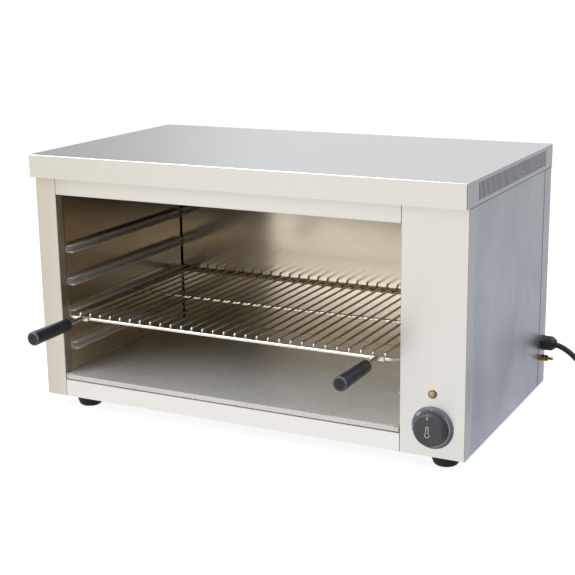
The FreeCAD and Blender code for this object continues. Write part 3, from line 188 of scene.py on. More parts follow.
def brushedSteel(name, look):
    material, tree, shader = newMaterial(name, Metallic=look["metal"], Anisotropic=look["smear"])
    spot = addNode(tree, "TexCoord", {}).outputs["Object"]
    normal = addNode(tree, "NewGeometry", {}).outputs["Normal"]
    facing = addNode(tree, "SeparateXYZ", {0: normal})
    isSide = reckoned(tree, "GREATER_THAN", reckoned(tree, "ABSOLUTE", facing.outputs["X"]), facesOn["X"])
    along, across = 1000 / grain["long"], 1000 / grain["wide"]
    frontGrain = addNode(tree, "VectorMath", {"operation": "MULTIPLY", 1: (along, across, across), 0: spot})
    sideGrain = addNode(tree, "VectorMath", {"operation": "MULTIPLY", 1: (across, along, across), 0: spot})
    grainSpot = addNode(tree, "Mix", {
        "data_type": "VECTOR", "Factor": isSide, 4: frontGrain.outputs[0],
        5: sideGrain.outputs[0]}).outputs[1]
    streaks = addNode(tree, "TexNoise", {
        "Scale": 1.0, "Detail": 3.0, "Roughness": 0.65, "Vector": grainSpot}).outputs["Fac"]
    tall = addNode(tree, "VectorMath", {"operation": "MULTIPLY", 1: (1, 1, look["cloudTall"]), 0: spot})
    clouds = addNode(tree, "TexNoise", {
        "Scale": look["cloud"], "Detail": 4.0, "Roughness": 0.55, "Distortion": 0.6,
        "Vector": tall.outputs[0]}).outputs["Fac"]
    tone = addNode(tree, "MapRange", {
        "From Min": 0.35, "From Max": 0.70, "To Max": look["cloudDepth"], "Value": clouds}).outputs[0]
    colour = addNode(tree, "Mix", {
        "data_type": "RGBA", 6: linear(look["colour"]), 7: linear(look["stain"]), "Factor": tone}).outputs[2]
    if "lip" in look:
        # folded and cut edges take another tone than the sheet: darker and browner on the left post's inner
        # edge, painted shade on the sill's top, brighter on the rails' cut ends
        lip = look["lip"]
        sideways = addNode(tree, "SeparateXYZ", {0: spot}).outputs["X"]
        inside = reckoned(tree, "LESS_THAN", sideways, lip["before"])
        towards = reckoned(tree, "MULTIPLY", facing.outputs[lip["axis"]], lip["facing"])
        faces = reckoned(tree, "GREATER_THAN", towards, facesOn[lip["axis"]])
        colour = painted(tree, colour, lip["colour"], reckoned(tree, "MULTIPLY", inside, faces))
    if "tint" in look:
        # the colour deepens along a direction: darker towards the top on the side liners and towards the left
        # post on the front sheets; painted shade at the back wall's top and towards the tray's back
        tint = look["tint"]
        colour = painted(tree, colour, tint["colour"],
                         towardsWay(tree, spot, tint["along"], tint["start"], tint["end"]))
    if "specks" in look:
        # scouring leaves bright and dull specks
        grit = addNode(tree, "TexNoise", {
            "Scale": 1000 / grain["speck"], "Detail": 2.0, "Vector": spot}).outputs["Fac"]
        dull = addNode(tree, "MapRange", {
            "From Min": 0.38, "From Max": 0.62, "To Max": look["specks"], "Value": grit}).outputs[0]
        colour = painted(tree, colour, grain["dull"], dull)
    streaked = reckoned(tree, "MULTIPLY_ADD", streaks, look["streak"], look["rough"] - look["streak"] / 2)
    uneven = reckoned(tree, "MULTIPLY_ADD", tone, stainRougher, streaked)
    upright = addNode(tree, "Mix", {"data_type": "VECTOR", 4: (0, 1, 1), 5: (0, 0, 1), "Factor": isSide})
    lines = addNode(tree, "Bump", {"Strength": look["lines"], "Distance": grain["deep"], "Height": streaks})
    swell = addNode(tree, "TexNoise", {"Scale": grain["swell"], "Detail": 1.0, "Vector": spot})
    sheet = addNode(tree, "Bump", {
        "Strength": 1.0, "Distance": look["wave"], "Height": swell.outputs["Fac"],
        "Normal": lines.outputs[0]})
    connect(tree, shader, {
        "Base Color": colour, "Roughness": uneven, "Tangent": upright.outputs[1], "Normal": sheet.outputs[0]})
    return material


# Everything else: colour, second colour, metallic, roughness, millimetres and strength of the fine texture
finishes = {
    # bright chrome over nickel on drawn wire, browned a little by heat in patches; the darker wires behind
    # the front rod are painted reflection
    "chromedWire": ("#f6f5f1", "#e6dfd1", 1.0, 0.30, 12.0, 0.02),
    # phenolic grip, pressed in a polished mould: dark with a dull sheen
    "mouldedPhenolic": ("#2e3034", "#3a3c41", 0.0, 0.28, 0.6, 0.10),
    # the grip's rim, paler grey than the grip: painted highlight
    "rimHighlightPhenolic": ("#6f7580", "#5b6069", 0.0, 0.38, 0.7, 0.12),
    # push-in cap, moulded, browner and more matt than the grip
    "mouldedCapPlastic": ("#332f2d", "#2a2827", 0.0, 0.55, 0.8, 0.08),
    # thermoset knob with a fine satin texture, warm black
    "satinKnobPlastic": ("#535557", "#4a4c4f", 0.0, 0.30, 0.5, 0.06),
    # moulded dial plate, a paler grey than the knob, with a smooth satin face
    "satinBezelPlastic": ("#80858f", "#747984", 0.0, 0.26, 0.5, 0.05),
    # pad-printed ink: flat and slightly chalky
    "printedWhiteInk": ("#f2f3f5", "#e4e6ea", 0.0, 0.60, 0.4, 0.02),
    # the pale ink also draws the wedge along the dial's ridge: painted highlight
    "paleInkAndHighlight": ("#f0f3f9", "#dfe4ee", 0.0, 0.55, 0.4, 0.02),
    # rolled ring, thinly brass plated: warm, with dull patches
    "brassPlatedRing": ("#ab9262", "#7c663f", 1.0, 0.32, 1.5, 0.05),
    # pleated baffle behind the lid's slots, dark: painted shade seen through the slots
    "slotShadeBaffleSteel": ("#33322f", "#4a4843", 0.2, 0.70, 2.0, 0.20),
    # a thin dark grey bead: painted shade under the lid's edge, and the dark line of each rear seam
    "jointShadeBead": ("#55544f", "#474641", 0.0, 0.80, 1.0, 0.20),
    # moulded nitrile foot: matt, with a faint bloom
    "mouldedRubber": ("#232324", "#2c2c2d", 0.0, 0.72, 1.2, 0.20),
    # extruded rubber flex: matt, slightly ribbed by the strands inside
    "extrudedRubber": ("#252628", "#2e2f31", 0.0, 0.58, 1.6, 0.25),
    # moulded nylon: black, with a soft broad highlight
    "mouldedNylon": ("#232527", "#2b2d2f", 0.0, 0.45, 0.9, 0.12),
    # turned brass, tarnished in patches
    "turnedBrass": ("#c9a560", "#8d6a34", 1.0, 0.24, 2.5, 0.06),
    # nickel plate on brass: cold, bright and smooth
    "nickelledBrass": ("#c9c6c0", "#b6b2aa", 1.0, 0.18, 2.0, 0.03),
    # zinc plate on steel: pale grey and slightly cloudy
    "zincPlatedSteel": ("#bfc2c4", "#a9adb2", 1.0, 0.36, 2.0, 0.08),
    # hot-dip galvanised sheet: grey crystals a few millimetres wide
    "galvanisedSheet": ("#a9adb0", "#8f9497", 1.0, 0.45, 9.0, 0.04),
    # heater sheath of nickel alloy, oxidised dull olive grey in use
    "oxidisedSheath": ("#6d6a5c", "#4c4a42", 1.0, 0.55, 5.0, 0.10),
    # fired steatite: chalky cream
    "firedSteatite": ("#e9e4d8", "#dcd5c6", 0.0, 0.50, 0.7, 0.10),
    # moulded polyamide: pale and even
    "mouldedPolyamide": ("#d9d6cd", "#cfcbc0", 0.0, 0.45, 0.8, 0.05),
    # drawn copper, dulled by heat
    "drawnCopper": ("#c48a62", "#9a6344", 1.0, 0.28, 2.0, 0.04),
    # extruded silicone over the wires: pale and matt
    "siliconeCover": ("#b9b2a4", "#a9a294", 0.0, 0.60, 0.8, 0.10),
    # pressed mineral board: fibrous and quite matt
    "mineralBoard": ("#d8d2c4", "#c4bdac", 0.0, 0.90, 2.2, 0.50),
}
# depths in metres where the rack's wires start to darken with painted reflection, where they are fully
# darkened, and just behind its middle rod; then how far a face has to look to the front to keep a painted
# highlight
wireShading = {"start": -0.125, "end": -0.085, "rodBefore": 0.09, "toFront": -0.2, "colour": "#b4a387"}
# patches to a metre, spread of the roughness, and height of the fine texture in metres
surfaces = {"patch": 28.0, "spread": 0.12, "relief": 0.0004}


def plainFinish(name, look):
    first, second, metal, rough, grit, bump = look
    material, tree, shader = newMaterial(name, Metallic=metal)
    spot = addNode(tree, "TexCoord", {}).outputs["Object"]
    specks = addNode(tree, "TexNoise", {"Scale": 1000 / grit, "Detail": 3.0, "Vector": spot}).outputs["Fac"]
    patches = addNode(tree, "TexNoise", {
        "Scale": surfaces["patch"], "Detail": 3.0, "Roughness": 0.6, "Vector": spot})
    worn = addNode(tree, "MapRange", {"From Min": 0.38, "From Max": 0.66, "Value": patches.outputs["Fac"]})
    colour = addNode(tree, "Mix", {
        "data_type": "RGBA", 6: linear(first), 7: linear(second), "Factor": worn.outputs[0]}).outputs[2]
    if name == "chromedWire":
        # the wires behind the front rod are painted browner: painted reflection; the middle rod's front faces
        # stay bright: painted highlight
        depth = addNode(tree, "SeparateXYZ", {0: spot}).outputs["Y"]
        reached = addNode(tree, "MapRange", {
            "From Min": wireShading["start"], "From Max": wireShading["end"], "Value": depth}).outputs[0]
        normal = addNode(tree, "NewGeometry", {}).outputs["Normal"]
        toFront = addNode(tree, "SeparateXYZ", {0: normal}).outputs["Y"]
        onRod = reckoned(tree, "LESS_THAN", toFront, wireShading["toFront"])
        isMiddle = reckoned(tree, "LESS_THAN", depth, wireShading["rodBefore"])
        keptBright = reckoned(tree, "MULTIPLY", onRod, isMiddle)
        darkenedBehind = addNode(tree, "Math", {"operation": "SUBTRACT", "use_clamp": True, 0: reached, 1: keptBright})
        colour = painted(tree, colour, wireShading["colour"], darkenedBehind.outputs[0])
    uneven = reckoned(tree, "MULTIPLY_ADD", specks, surfaces["spread"], rough - surfaces["spread"] / 2)
    relief = addNode(tree, "Bump", {"Strength": bump, "Distance": surfaces["relief"], "Height": specks})
    connect(tree, shader, {"Base Color": colour, "Roughness": uneven, "Normal": relief.outputs[0]})
    return material


amberLens = {"colour": "#ffeccb", "second": "#e0b877", "facet": 2.4}


def lensPolycarbonate():
    # amber lens over a pale reflector: warm, glossy and a little see-through
    material, tree, shader = newMaterial("amberPolycarbonate", Roughness=0.12, IOR=1.58,
                                         Transmission_Weight=0.18)
    spot = addNode(tree, "TexCoord", {}).outputs["Object"]
    facets = addNode(tree, "TexVoronoi", {"Scale": 1000 / amberLens["facet"], "Vector": spot})
    tone = addNode(tree, "MapRange", {"From Min": 0.1, "From Max": 0.7, "Value": facets.outputs["Distance"]})
    colour = addNode(tree, "Mix", {
        "data_type": "RGBA", 6: linear(amberLens["colour"]), 7: linear(amberLens["second"]),
        "Factor": tone.outputs[0]})
    tree.links.new(colour.outputs[2], shader.inputs["Base Color"])
    return material


materials = {name: brushedSteel(name, look) for name, look in sheetSteels.items()}
materials.update({name: plainFinish(name, look) for name, look in finishes.items()})
materials["amberPolycarbonate"] = lensPolycarbonate()

nodeFinishes = {
    "brushedCasingSteel": ["left_side_shell", "control_panel", "upper_front_rail"],
    "brushedSillSteel": ["front_sill"],
    "brushedSideSteel": ["right_side_panel", "rear_panel"],
    "brushedLidSteel": ["top_lid"],
    "heatTintedLinerSteel": ["left_liner", "right_liner", "floor_liner"],
    "paleLinerSteel": ["rear_liner"],
    "shadedRoofSteel": ["ceiling_reflector"],
    "pressedRailSteel": ["rack_rails_left", "rack_rails_right"],
    "scouredTraySteel": ["crumb_tray"],
    "chromedWire": ["wire_rack", "handle_brackets", "handle_stems"],
    "zincPlatedSteel": ["back_screws", "foot_screws", "foot_nuts", "thermostat_nut", "pilot_lamp_nut",
                        "bulb_clips", "thermostat_spindle"],
    "galvanisedSheet": ["base_pan", "element_hanger", "thermostat_body"],
    "turnedBrass": ["element_bushes", "bonding_stud", "bonding_nuts"],
    "nickelledBrass": ["element_straps", "plug_pins"],
    "oxidisedSheath": ["heating_element_1", "heating_element_2", "heating_element_3"],
    "firedSteatite": ["element_terminals"],
    "mouldedPolyamide": ["terminal_block"],
    "drawnCopper": ["thermostat_bulb", "thermostat_capillary"],
    "siliconeCover": ["internal_wires"],
    "mineralBoard": ["insulation_board"],
    "mouldedPhenolic": ["handle_grip_left", "handle_grip_right"],
    "mouldedCapPlastic": ["grip_end_cap_left", "grip_end_cap_right"],
    "satinBezelPlastic": ["dial_bezel"],
    "satinKnobPlastic": ["control_knob"],
    "brassPlatedRing": ["pilot_lamp_body"],
    "amberPolycarbonate": ["pilot_lamp_lens"],
    "mouldedRubber": ["foot_front_left", "foot_rear_left", "foot_front_right", "foot_rear_right"],
    "mouldedNylon": ["gland_body", "gland_dome_nut", "gland_lock_nut", "plug_body"],
    "extrudedRubber": ["mains_cord", "cord_coil"],
}
for finish, names in nodeFinishes.items():
    for name in names:
        for slot in cadNodes[name].material_slots:
            slot.material = materials[finish]
print("materials made:", len(materials))


# mains flex: the same points as the part's own cord, then the turns of its coil
cordLook = {"radius": 5.0, "floor": 0.1, "tail": 10.0, "lead": 24.0, "pointsPerTurn": 24,
            "mouth": (415.6, 427.5, 77.5)}
coilLook = {"x": 600.0, "y": 375.0, "radius": 63.0, "pitch": 10.8, "turns": 4.3333, "start": 90.0}
plugLook = {"radius": 18.4, "body": 34.0, "boot": 34.0, "bootRadius": 6.4, "neck": 9.0, "pin": 2.4,
            "pinLong": 19.0, "pinApart": 9.5, "ribs": 6, "ribWide": 3.0, "ribDeep": 0.9, "edge": 2.3,
            "fingers": 18, "fingerDeep": 0.5, "sleeve": 8.0,
            "waist": [(0, 10.5), (-1.2, 14), (-1.5, 18), (-1.2, 22), (0, 26)]}


def eased(share):
    share = min(max(share, 0), 1)
    return share * share * (3 - 2 * share)


def coilPoint(turn):
    # the lower layer winds in, climbs, and the upper layer winds out over it
    half = coilLook["turns"] / 2
    inward = abs(turn - half)
    if inward < 0.25:
        inward = (inward ** 2 / 0.25 + 0.25) / 2
    radius = coilLook["radius"] - coilLook["pitch"] * (half - inward)
    climb = coilLook["pitch"] * eased((turn - half + 0.25) / 0.5)
    lift = plugLook["radius"] - cordLook["radius"] - coilLook["pitch"]
    lift *= eased((turn - 2 * half + 0.5) / 0.5)
    angle = math.radians(coilLook["start"]) - math.tau * turn
    floor = cordLook["radius"] + cordLook["floor"] - drawingStart.z
    return Vector((coilLook["x"] + radius * math.cos(angle), coilLook["y"] + radius * math.sin(angle),
                   floor + climb + lift))


def coilHeading(turn):
    return (coilPoint(turn + 1e-4) - coilPoint(turn - 1e-4)).normalized()


def cordRoute():
    mouth = Vector(cordLook["mouth"])
    steps = [(0, 0, 0), (12, 0, -1.8), (25, 1.2, -7.5), (38, 3.5, -17), (50, 6.5, -30), (62, 9, -46),
             (76, 10.5, -64), (94, 11, -82), (118, 11, -93.5)]
    coilStart, way = coilPoint(0), coilHeading(0)
    start = coilStart - way * cordLook["tail"]
    route = [mouth + Vector(step) for step in steps] + [start - way * cordLook["lead"], start]
    count = round(coilLook["turns"] * cordLook["pointsPerTurn"])
    route += [coilPoint(coilLook["turns"] * i / count) for i in range(count + 1)]
    return route + [route[-1] + coilHeading(coilLook["turns"]) * cordLook["tail"]]


def addCord():
    route = cordRoute()
    curve = bpy.data.curves.new("mainsFlex", "CURVE")
    curve.dimensions = "3D"
    spline = curve.splines.new("NURBS")
    spline.points.add(len(route) - 1)
    for point, spot in zip(spline.points, route):
        point.co = (*place(*spot), 1)
    spline.order_u = 3
    spline.use_endpoint_u = True
    spline.resolution_u = 8
    curve.bevel_depth = cordLook["radius"] / 1000
    curve.bevel_resolution = 8
    curve.use_fill_caps = True
    curve.materials.append(materials["extrudedRubber"])
    flex = bpy.data.objects.new("mainsFlex", curve)
    bpy.context.scene.collection.objects.link(flex)
    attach(flex, "cabinet")
    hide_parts("mains_cord", "cord_coil")
    return flex, route


flex, route = addCord()
print("cord laid:", len(route), "points")


def turnInto(mesh, profile, centre, direction, sides=96, shape=None, sunk=None):
    # profile is (radius, place along the axis); shape changes the radius round the axis, sunk the place
    axis = Vector(direction).normalized()
    across = axis.cross(Vector((0, 0, 1) if abs(axis.z) < 0.9 else (0, 1, 0))).normalized()
    upward = across.cross(axis)
    rings = []
    for radius, along in profile:
        middle = Vector(centre) + axis * along
        if radius <= 0:
            rings.append([mesh.verts.new(place(*middle))])
            continue
        ring = []
        for i in range(sides):
            angle = math.tau * i / sides
            r = shape(angle, radius, along) if shape else radius
            spot = middle + across * r * math.cos(angle) + upward * r * math.sin(angle)
            if sunk:
                spot -= axis * sunk(angle, radius)
            ring.append(mesh.verts.new(place(*spot)))
        rings.append(ring)
    for low, high in zip(rings, rings[1:]):
        for i in range(sides):
            j = (i + 1) % sides
            corners = [low[i % len(low)], low[j % len(low)], high[j % len(high)], high[i % len(high)]]
            corners = [corner for k, corner in enumerate(corners) if corner not in corners[:k]]
            if len(corners) > 2:
                mesh.faces.new(corners)


def turned(profile, centre, direction, sides=96, shape=None):
    mesh = bmesh.new()
    turnInto(mesh, profile, centre, direction, sides, shape)
    return mesh


def sixSided(acrossFlats):
    # a hexagon inside the turned profile, so that its corners are chamfered where the profile draws in
    def radiusAt(angle, radius, along):
        fromFlat = (angle + math.pi / 6) % (math.pi / 3) - math.pi / 6
        return min(radius, acrossFlats / 2 / math.cos(fromFlat))
    return radiusAt


def roundedCorner(centre, radius, start, end, steps=6):
    # points of an arc in a profile; centre is (radius, along), angles in degrees from outward towards along
    angles = [math.radians(start + (end - start) * i / steps) for i in range(steps + 1)]
    return [(centre[0] + radius * math.cos(a), centre[1] + radius * math.sin(a)) for a in angles]


def addPiece(name, mesh, finish, body, slot, *stoodFor, sharp=32):
    # edges turned by more than the sharp angle stay crisp; with no angle the mesh is flat and stays as it is
    if sharp:
        bmesh.ops.recalc_face_normals(mesh, faces=mesh.faces)
        for face in mesh.faces:
            face.smooth = True
        for edge in mesh.edges:
            edge.smooth = len(edge.link_faces) == 2 and edge.calc_face_angle() < math.radians(sharp)
    made = bpy.data.meshes.new(name)
    mesh.to_mesh(made)
    mesh.free()
    made.materials.append(materials[finish])
    piece = bpy.data.objects.new(name, made)
    bpy.context.scene.collection.objects.link(piece)
    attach(piece, body)
    if stoodFor:
        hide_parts(*stoodFor)
    return piece


def middleOf(node):
    low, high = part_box(node)
    return (low + high) / 2 * 1000 - drawingStart


# Dial: a flat ring with a sloping rim, and a drafted knob that stands proud of it
bezelLook = {"bore": 12.0, "flat": 32.0, "rim": 35.0, "thick": 4.6, "round": 1.0, "bevel": 0.3}
knobLook = {"rear": -5.1, "front": -20.0, "skirt": 27.0, "nose": 25.4, "edge": 2.4, "hub": 8.0, "bevel": 0.5,
            "crown": [(18.0, 0.12), (10.0, 0.02), (0, 0)]}
# marks are (radius, start angle, end angle, width), strokes are (start, end, width) from the dial's middle
printLook = {"proud": 0.06, "line": 1.15, "off": (30.7, 144, 127.5, 3.0),
             "ridgeHighlightWedge": (29.9, 46, -104, 0.7, 2.3, 60),
             "ticks": [((0, 28.4), (0, 31.8), 1.5), ((-29.2, 0), (-31.7, 0), 1.3)],
             "pointer": ((-2.6, 18.6), (-0.9, 24.0), 1.7), "signAcross": -1.9, "bulb": 3.7, "stem": 1.95,
             "signLow": -6.4, "signHigh": 5.6}


def addDial():
    axis = middleOf("dial_bezel")
    centre = (axis.x, 0, axis.z)
    outward = (0, -1, 0)
    bore, flat, rim, thick, bevel = sizes(bezelLook, "bore", "flat", "rim", "thick", "bevel")
    ring = [(bore, 0), (bore, thick - bevel), (bore + bevel, thick), (flat - 0.9, thick)]
    ring += roundedCorner((flat - 0.9, thick - bezelLook["round"]), bezelLook["round"], 90, 40, 5)
    ring += [(rim - 0.35, 0.75), (rim, bevel), (rim, 0)]
    addPiece("dialPlate", turned(ring, centre, outward, 160), "satinBezelPlastic", "cabinet", "dial_plastic",
             "dial_bezel")
    front, rear = -knobLook["front"], -knobLook["rear"]
    edge, skirt, bevel = sizes(knobLook, "edge", "skirt", "bevel")
    knob = [(knobLook["hub"], rear), (skirt - bevel, rear), (skirt, rear + bevel), (skirt - 0.25, rear + 3.0)]
    knob += roundedCorner((knobLook["nose"] - edge, front - 0.3 - edge), edge, 8, 84, 8)
    knob += [(radius, front - drop) for radius, drop in knobLook["crown"]]
    addPiece("heatKnob", turned(knob, centre, outward, 160), "satinKnobPlastic", "dial", "dial_plastic",
             "control_knob")
    return centre


def flatPrint(name, outlines, y, finish, body):
    # closed outlines of (x, z) on the dial; a pair of equal outlines is a line drawn between them
    mesh = bmesh.new()
    for outline in outlines:
        if isinstance(outline, tuple):
            inner, outer = ([mesh.verts.new(place(x, y, z)) for x, z in side] for side in outline)
            for i in range(len(inner) - 1):
                mesh.faces.new((inner[i], inner[i + 1], outer[i + 1], outer[i]))
        else:
            mesh.faces.new([mesh.verts.new(place(x, y, z)) for x, z in outline])
    for face in mesh.faces:
        face.normal_update()
        if face.normal.y > 0:
            face.normal_flip()
    addPiece(name, mesh, finish, body, "dial_plastic", sharp=None)


def arcLine(centre, radius, start, end, wide, endWide=None, steps=40):
    inner, outer = [], []
    for i in range(steps + 1):
        share = i / steps
        angle = math.radians(start + (end - start) * share)
        half = (wide + ((endWide or wide) - wide) * share) / 2
        for side, r in ((inner, radius - half), (outer, radius + half)):
            side.append((centre[0] + r * math.cos(angle), centre[1] + r * math.sin(angle)))
    return inner, outer


def bar(start, end, wide, rounded=0.35):
    # a stroke with soft ends
    along = Vector((end[0] - start[0], end[1] - start[1])).normalized()
    side = Vector((-along.y, along.x)) * wide / 2
    cut = along * wide * rounded
    a, b = Vector(start), Vector(end)
    return [tuple(p) for p in (a + side * 0.5, a + side + cut, b + side - cut, b + side * 0.5, b - side * 0.5,
                               b - side - cut, a - side + cut, a - side * 0.5)]


def addDialMarks(centre):
    x, z = centre[0], centre[2]
    plate = -bezelLook["thick"] - printLook["proud"]
    white = [arcLine((x, z), *printLook["off"])]
    flatPrint("dialOffMark", white, plate, "printedWhiteInk", "cabinet")
    pale = [bar((x + a, z + b), (x + c, z + d), wide) for (a, b), (c, d), wide in printLook["ticks"]]
    # the ticks are print; the wedge along the ridge on the right is painted highlight
    pale.append(arcLine((x, z), *printLook["ridgeHighlightWedge"]))
    flatPrint("dialWedgeHighlight", pale, plate, "paleInkAndHighlight", "cabinet")
    face = knobLook["front"] - printLook["proud"]
    line = printLook["line"]
    x += printLook["signAcross"]
    bulb, stem = sizes(printLook, "bulb", "stem")
    low, high = z + printLook["signLow"], z + printLook["signHigh"]
    meet = math.degrees(math.asin(stem / bulb))
    sign = [arcLine((x, low), bulb, 90 + meet, 450 - meet, line, None, 48),
            arcLine((x, high), stem, 0, 180, line, None, 24)]
    top = low + bulb * math.cos(math.radians(meet))
    for side in (-1, 1):
        near, far = x + side * (stem - line / 2), x + side * (stem + line / 2)
        sign.append(([(near, top - 0.3), (near, high)], [(far, top - 0.3), (far, high)]))
    (a, b), (c, d), wide = printLook["pointer"]
    sign.append(bar((centre[0] + a, z + b), (centre[0] + c, z + d), wide))
    flatPrint("knobHeatSign", sign, face, "printedWhiteInk", "dial")


dialCentre = addDial()
addDialMarks(dialCentre)
print("dial made")


# Pilot lamp: a rolled ring and a ribbed dome
lampLook = {"ring": 7.0, "lens": 4.9, "roll": 0.9, "bore": 4.8, "barrel": -24.0, "domeBase": 1.9,
            "domeTop": 3.85, "domeSteps": (0.25, 0.5, 0.8, 1.1, 1.35)}


def addLamp():
    axis = middleOf("pilot_lamp_lens")
    centre = (axis.x, 0, axis.z)
    lens, roll, bore, barrel, base = sizes(lampLook, "lens", "roll", "bore", "barrel", "domeBase")
    ring = [(lens + 0.05, 0.9), (lens + 0.05, 1.6)]
    ring += roundedCorner((lampLook["ring"] - roll, 1.1), roll, 130, 0, 8)
    ring += [(lampLook["ring"], 0.0), (bore, 0.0), (bore, barrel), (0, barrel)]
    addPiece("pilotRing", turned(ring, centre, (0, -1, 0)), "brassPlatedRing", "cabinet", "lamp_ring",
             "pilot_lamp_body")
    dome = [(0, 1.0), (lens, 1.0), (lens, base)]
    dome += [(lens * math.cos(a), base + base * math.sin(a)) for a in lampLook["domeSteps"]]
    dome.append((0, lampLook["domeTop"]))
    facets = turned(dome, centre, (0, -1, 0), 12)
    addPiece("pilotLens", facets, "amberPolycarbonate", "cabinet", "lamp_lens", "pilot_lamp_lens", sharp=5)


addLamp()

# Grips: pressed phenolic tubes on the rack's stems, closed by a push-in cap
gripLook = {"radius": 11.0, "endRadius": 12.1, "near": 43.0, "far": 141.0, "noseRound": 4.0, "tailRound": 2.6,
            "cap": 8.75, "stem": 4.0, "collar": 1.4, "capShow": 0.4, "capDeep": 4.0, "rimDeep": 2.2,
            "play": 0.1, "dimple": 2.2, "taper": [(0.25, 30), (0.58, 60)]}


def addGrip(side):
    low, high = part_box(f"handle_grip_{side}")
    axis = (low + high) / 2 * 1000 - drawingStart
    centre = (axis.x, 0, axis.z)
    radius, end, near, far = sizes(gripLook, "radius", "endRadius", "near", "far")
    nose, curl, plug, deep = sizes(gripLook, "noseRound", "tailRound", "cap", "capDeep")
    bore, rimLow, show = plug + gripLook["play"], far - gripLook["rimDeep"], far + gripLook["capShow"]
    body = [(gripLook["stem"], near), (gripLook["stem"] + gripLook["collar"], near)]
    body += roundedCorner((radius - nose, near + nose), nose, -90, 0, 10)
    body += [(radius + (end - radius) * share, near + along) for share, along in gripLook["taper"]]
    tail = roundedCorner((end - curl, far - curl), curl, 0, 80, 8)
    body += tail[:3] + [(end - 1.2, rimLow), (bore, rimLow - 0.2), (bore, far - deep), (0, far - deep)]
    # the rim is its own ring in a paler finish: painted highlight
    rim = [(bore, rimLow)] + tail[2:] + [(plug + 0.25, far), (bore, far - 0.35)]
    addPiece(f"gripRim_{side}", turned(rim + rim[:1], centre, (0, -1, 0)), "rimHighlightPhenolic", "sliding_rack",
             "grip_plastic")
    addPiece(f"grip_{side}", turned(body, centre, (0, -1, 0)), "mouldedPhenolic", "sliding_rack",
             "grip_plastic", f"handle_grip_{side}")
    dimple = gripLook["dimple"]
    cap = [(0, far - deep + 0.1), (plug, far - deep + 0.1), (plug, far - 0.1), (plug - 0.3, show - 0.05),
           (plug - 0.6, show), (dimple, show - 0.15), (dimple - 0.4, far - 0.2), (0, far - 0.25)]
    addPiece(f"gripCap_{side}", turned(cap, centre, (0, -1, 0), 72), "mouldedCapPlastic", "sliding_rack",
             "grip_plastic", f"grip_end_cap_{side}")


for side in ("left", "right"):
    addGrip(side)
print("grips made")

# Feet: moulded rubber cups, drafted below, with a flange under the pan
footLook = {"top": 24.5, "base": 19.5, "tall": 24.0, "groove": 0.5, "bore": 3.4, "well": 7.0,
            "wellTop": -15.0,
            "toe": [(2.2, -17.5), (1.0, -20.4), (-0.6, -22.6), (-2.4, -23.8), (-3.8, -24.0)]}


def addFoot(node):
    axis = middleOf(node)
    centre = (axis.x, axis.y, 0)
    top, base, tall, groove = sizes(footLook, "top", "base", "tall", "groove")
    bore, well, wellTop = sizes(footLook, "bore", "well", "wellTop")
    profile = [(bore, 0), (top - 0.5, 0), (top, -0.6), (top, -2.6), (top - groove, -3.2),
               (top - groove, -4.2), (top, -4.8), (top, -7.6), (top - 0.3, -8.6)]
    profile += [(base + wider, along) for wider, along in footLook["toe"]]
    profile += [(well + 0.6, -tall), (well, -tall + 0.5), (well, wellTop), (bore, wellTop), (bore, 0)]
    addPiece(f"cup_{node}", turned(profile, centre, (0, 0, 1)), "mouldedRubber", "cabinet", "foot_rubber",
             node)


for corner in ("front_left", "rear_left", "front_right", "rear_right"):
    addFoot(f"foot_{corner}")

# Cable gland: a six-sided flange against the panel and a domed nut with soft flutes for the fingers
glandLook = {"flats": 25.0, "flange": 6.0, "dome": 13.2, "domeLong": 12.0, "nose": 8.2, "noseLong": 6.6,
             "bore": 5.1, "mouth": 7.4, "mouthDeep": 9.0, "flutes": 14, "fluteDeep": 0.55, "thread": 9.8,
             "inside": 12.0, "panel": 400.0,
             "shoulder": [(0.0, -2.5), (-0.15, -1.0), (-0.8, 0.6), (-1.7, 1.9), (-2.9, 3.3)]}


def addGland():
    axis = middleOf("gland_dome_nut")
    centre = (glandLook["panel"], axis.y, axis.z)
    flats, flange, bore, mouth = sizes(glandLook, "flats", "flange", "bore", "mouth")
    thread, inside = sizes(glandLook, "thread", "inside")
    corner = flats / 2 / math.cos(math.pi / 6)
    body = bmesh.new()
    rim = [(bore, 0.0), (corner - 0.9, 0.0), (corner, 0.7), (corner, flange - 1.2),
           (corner - 1.5, flange - 0.1), (bore, flange - 0.1)]
    turnInto(body, rim, centre, (1, 0, 0), 96, sixSided(flats))
    tube = [(bore, -inside), (thread - 0.6, -inside), (thread, 0.6 - inside), (thread, 0.0)]
    turnInto(body, tube, centre, (1, 0, 0), 64)
    addPiece("glandFlange", body, "mouldedNylon", "cabinet", "cord_rubber", "gland_body", sharp=28)
    dome, end = glandLook["dome"], flange + glandLook["domeLong"]
    tip = end + glandLook["noseLong"]

    def fluted(angle, radius, along):
        depth = glandLook["fluteDeep"] * (0.5 - 0.5 * math.cos(glandLook["flutes"] * angle)) ** 2
        return radius - depth if flange + 1.0 < along < end + 1.0 and radius > 11 else radius

    nut = [(bore, flange), (dome - 0.7, flange), (dome, flange + 0.6), (dome, flange + 1.4),
           (dome, flange + 3.0)]
    nut += [(dome + wider, end + along) for wider, along in glandLook["shoulder"]]
    nut += [(dome - 4.2, tip - 1.2), (glandLook["nose"], tip - 0.3), (mouth + 0.3, tip), (mouth, tip - 0.3),
            (bore + 0.2, tip - glandLook["mouthDeep"])]
    addPiece("glandDome", turned(nut, centre, (1, 0, 0), 168, fluted), "mouldedNylon", "cabinet",
             "cord_rubber", "gland_dome_nut", sharp=40)


addGland()

# Bonding terminal: a threaded brass stud through the panel, with chamfered nuts and washers on it
bondLook = {"studRadius": 2.9, "tipRadius": 2.5, "reach": 21.5, "inside": 12.0, "pitch": 1.0, "flats": 10.0,
            "nut": 4.6, "washer": 6.0, "washerThick": 1.2, "springThick": 1.6, "sheet": 1.2, "panel": 400.0,
            "bevel": 0.3}


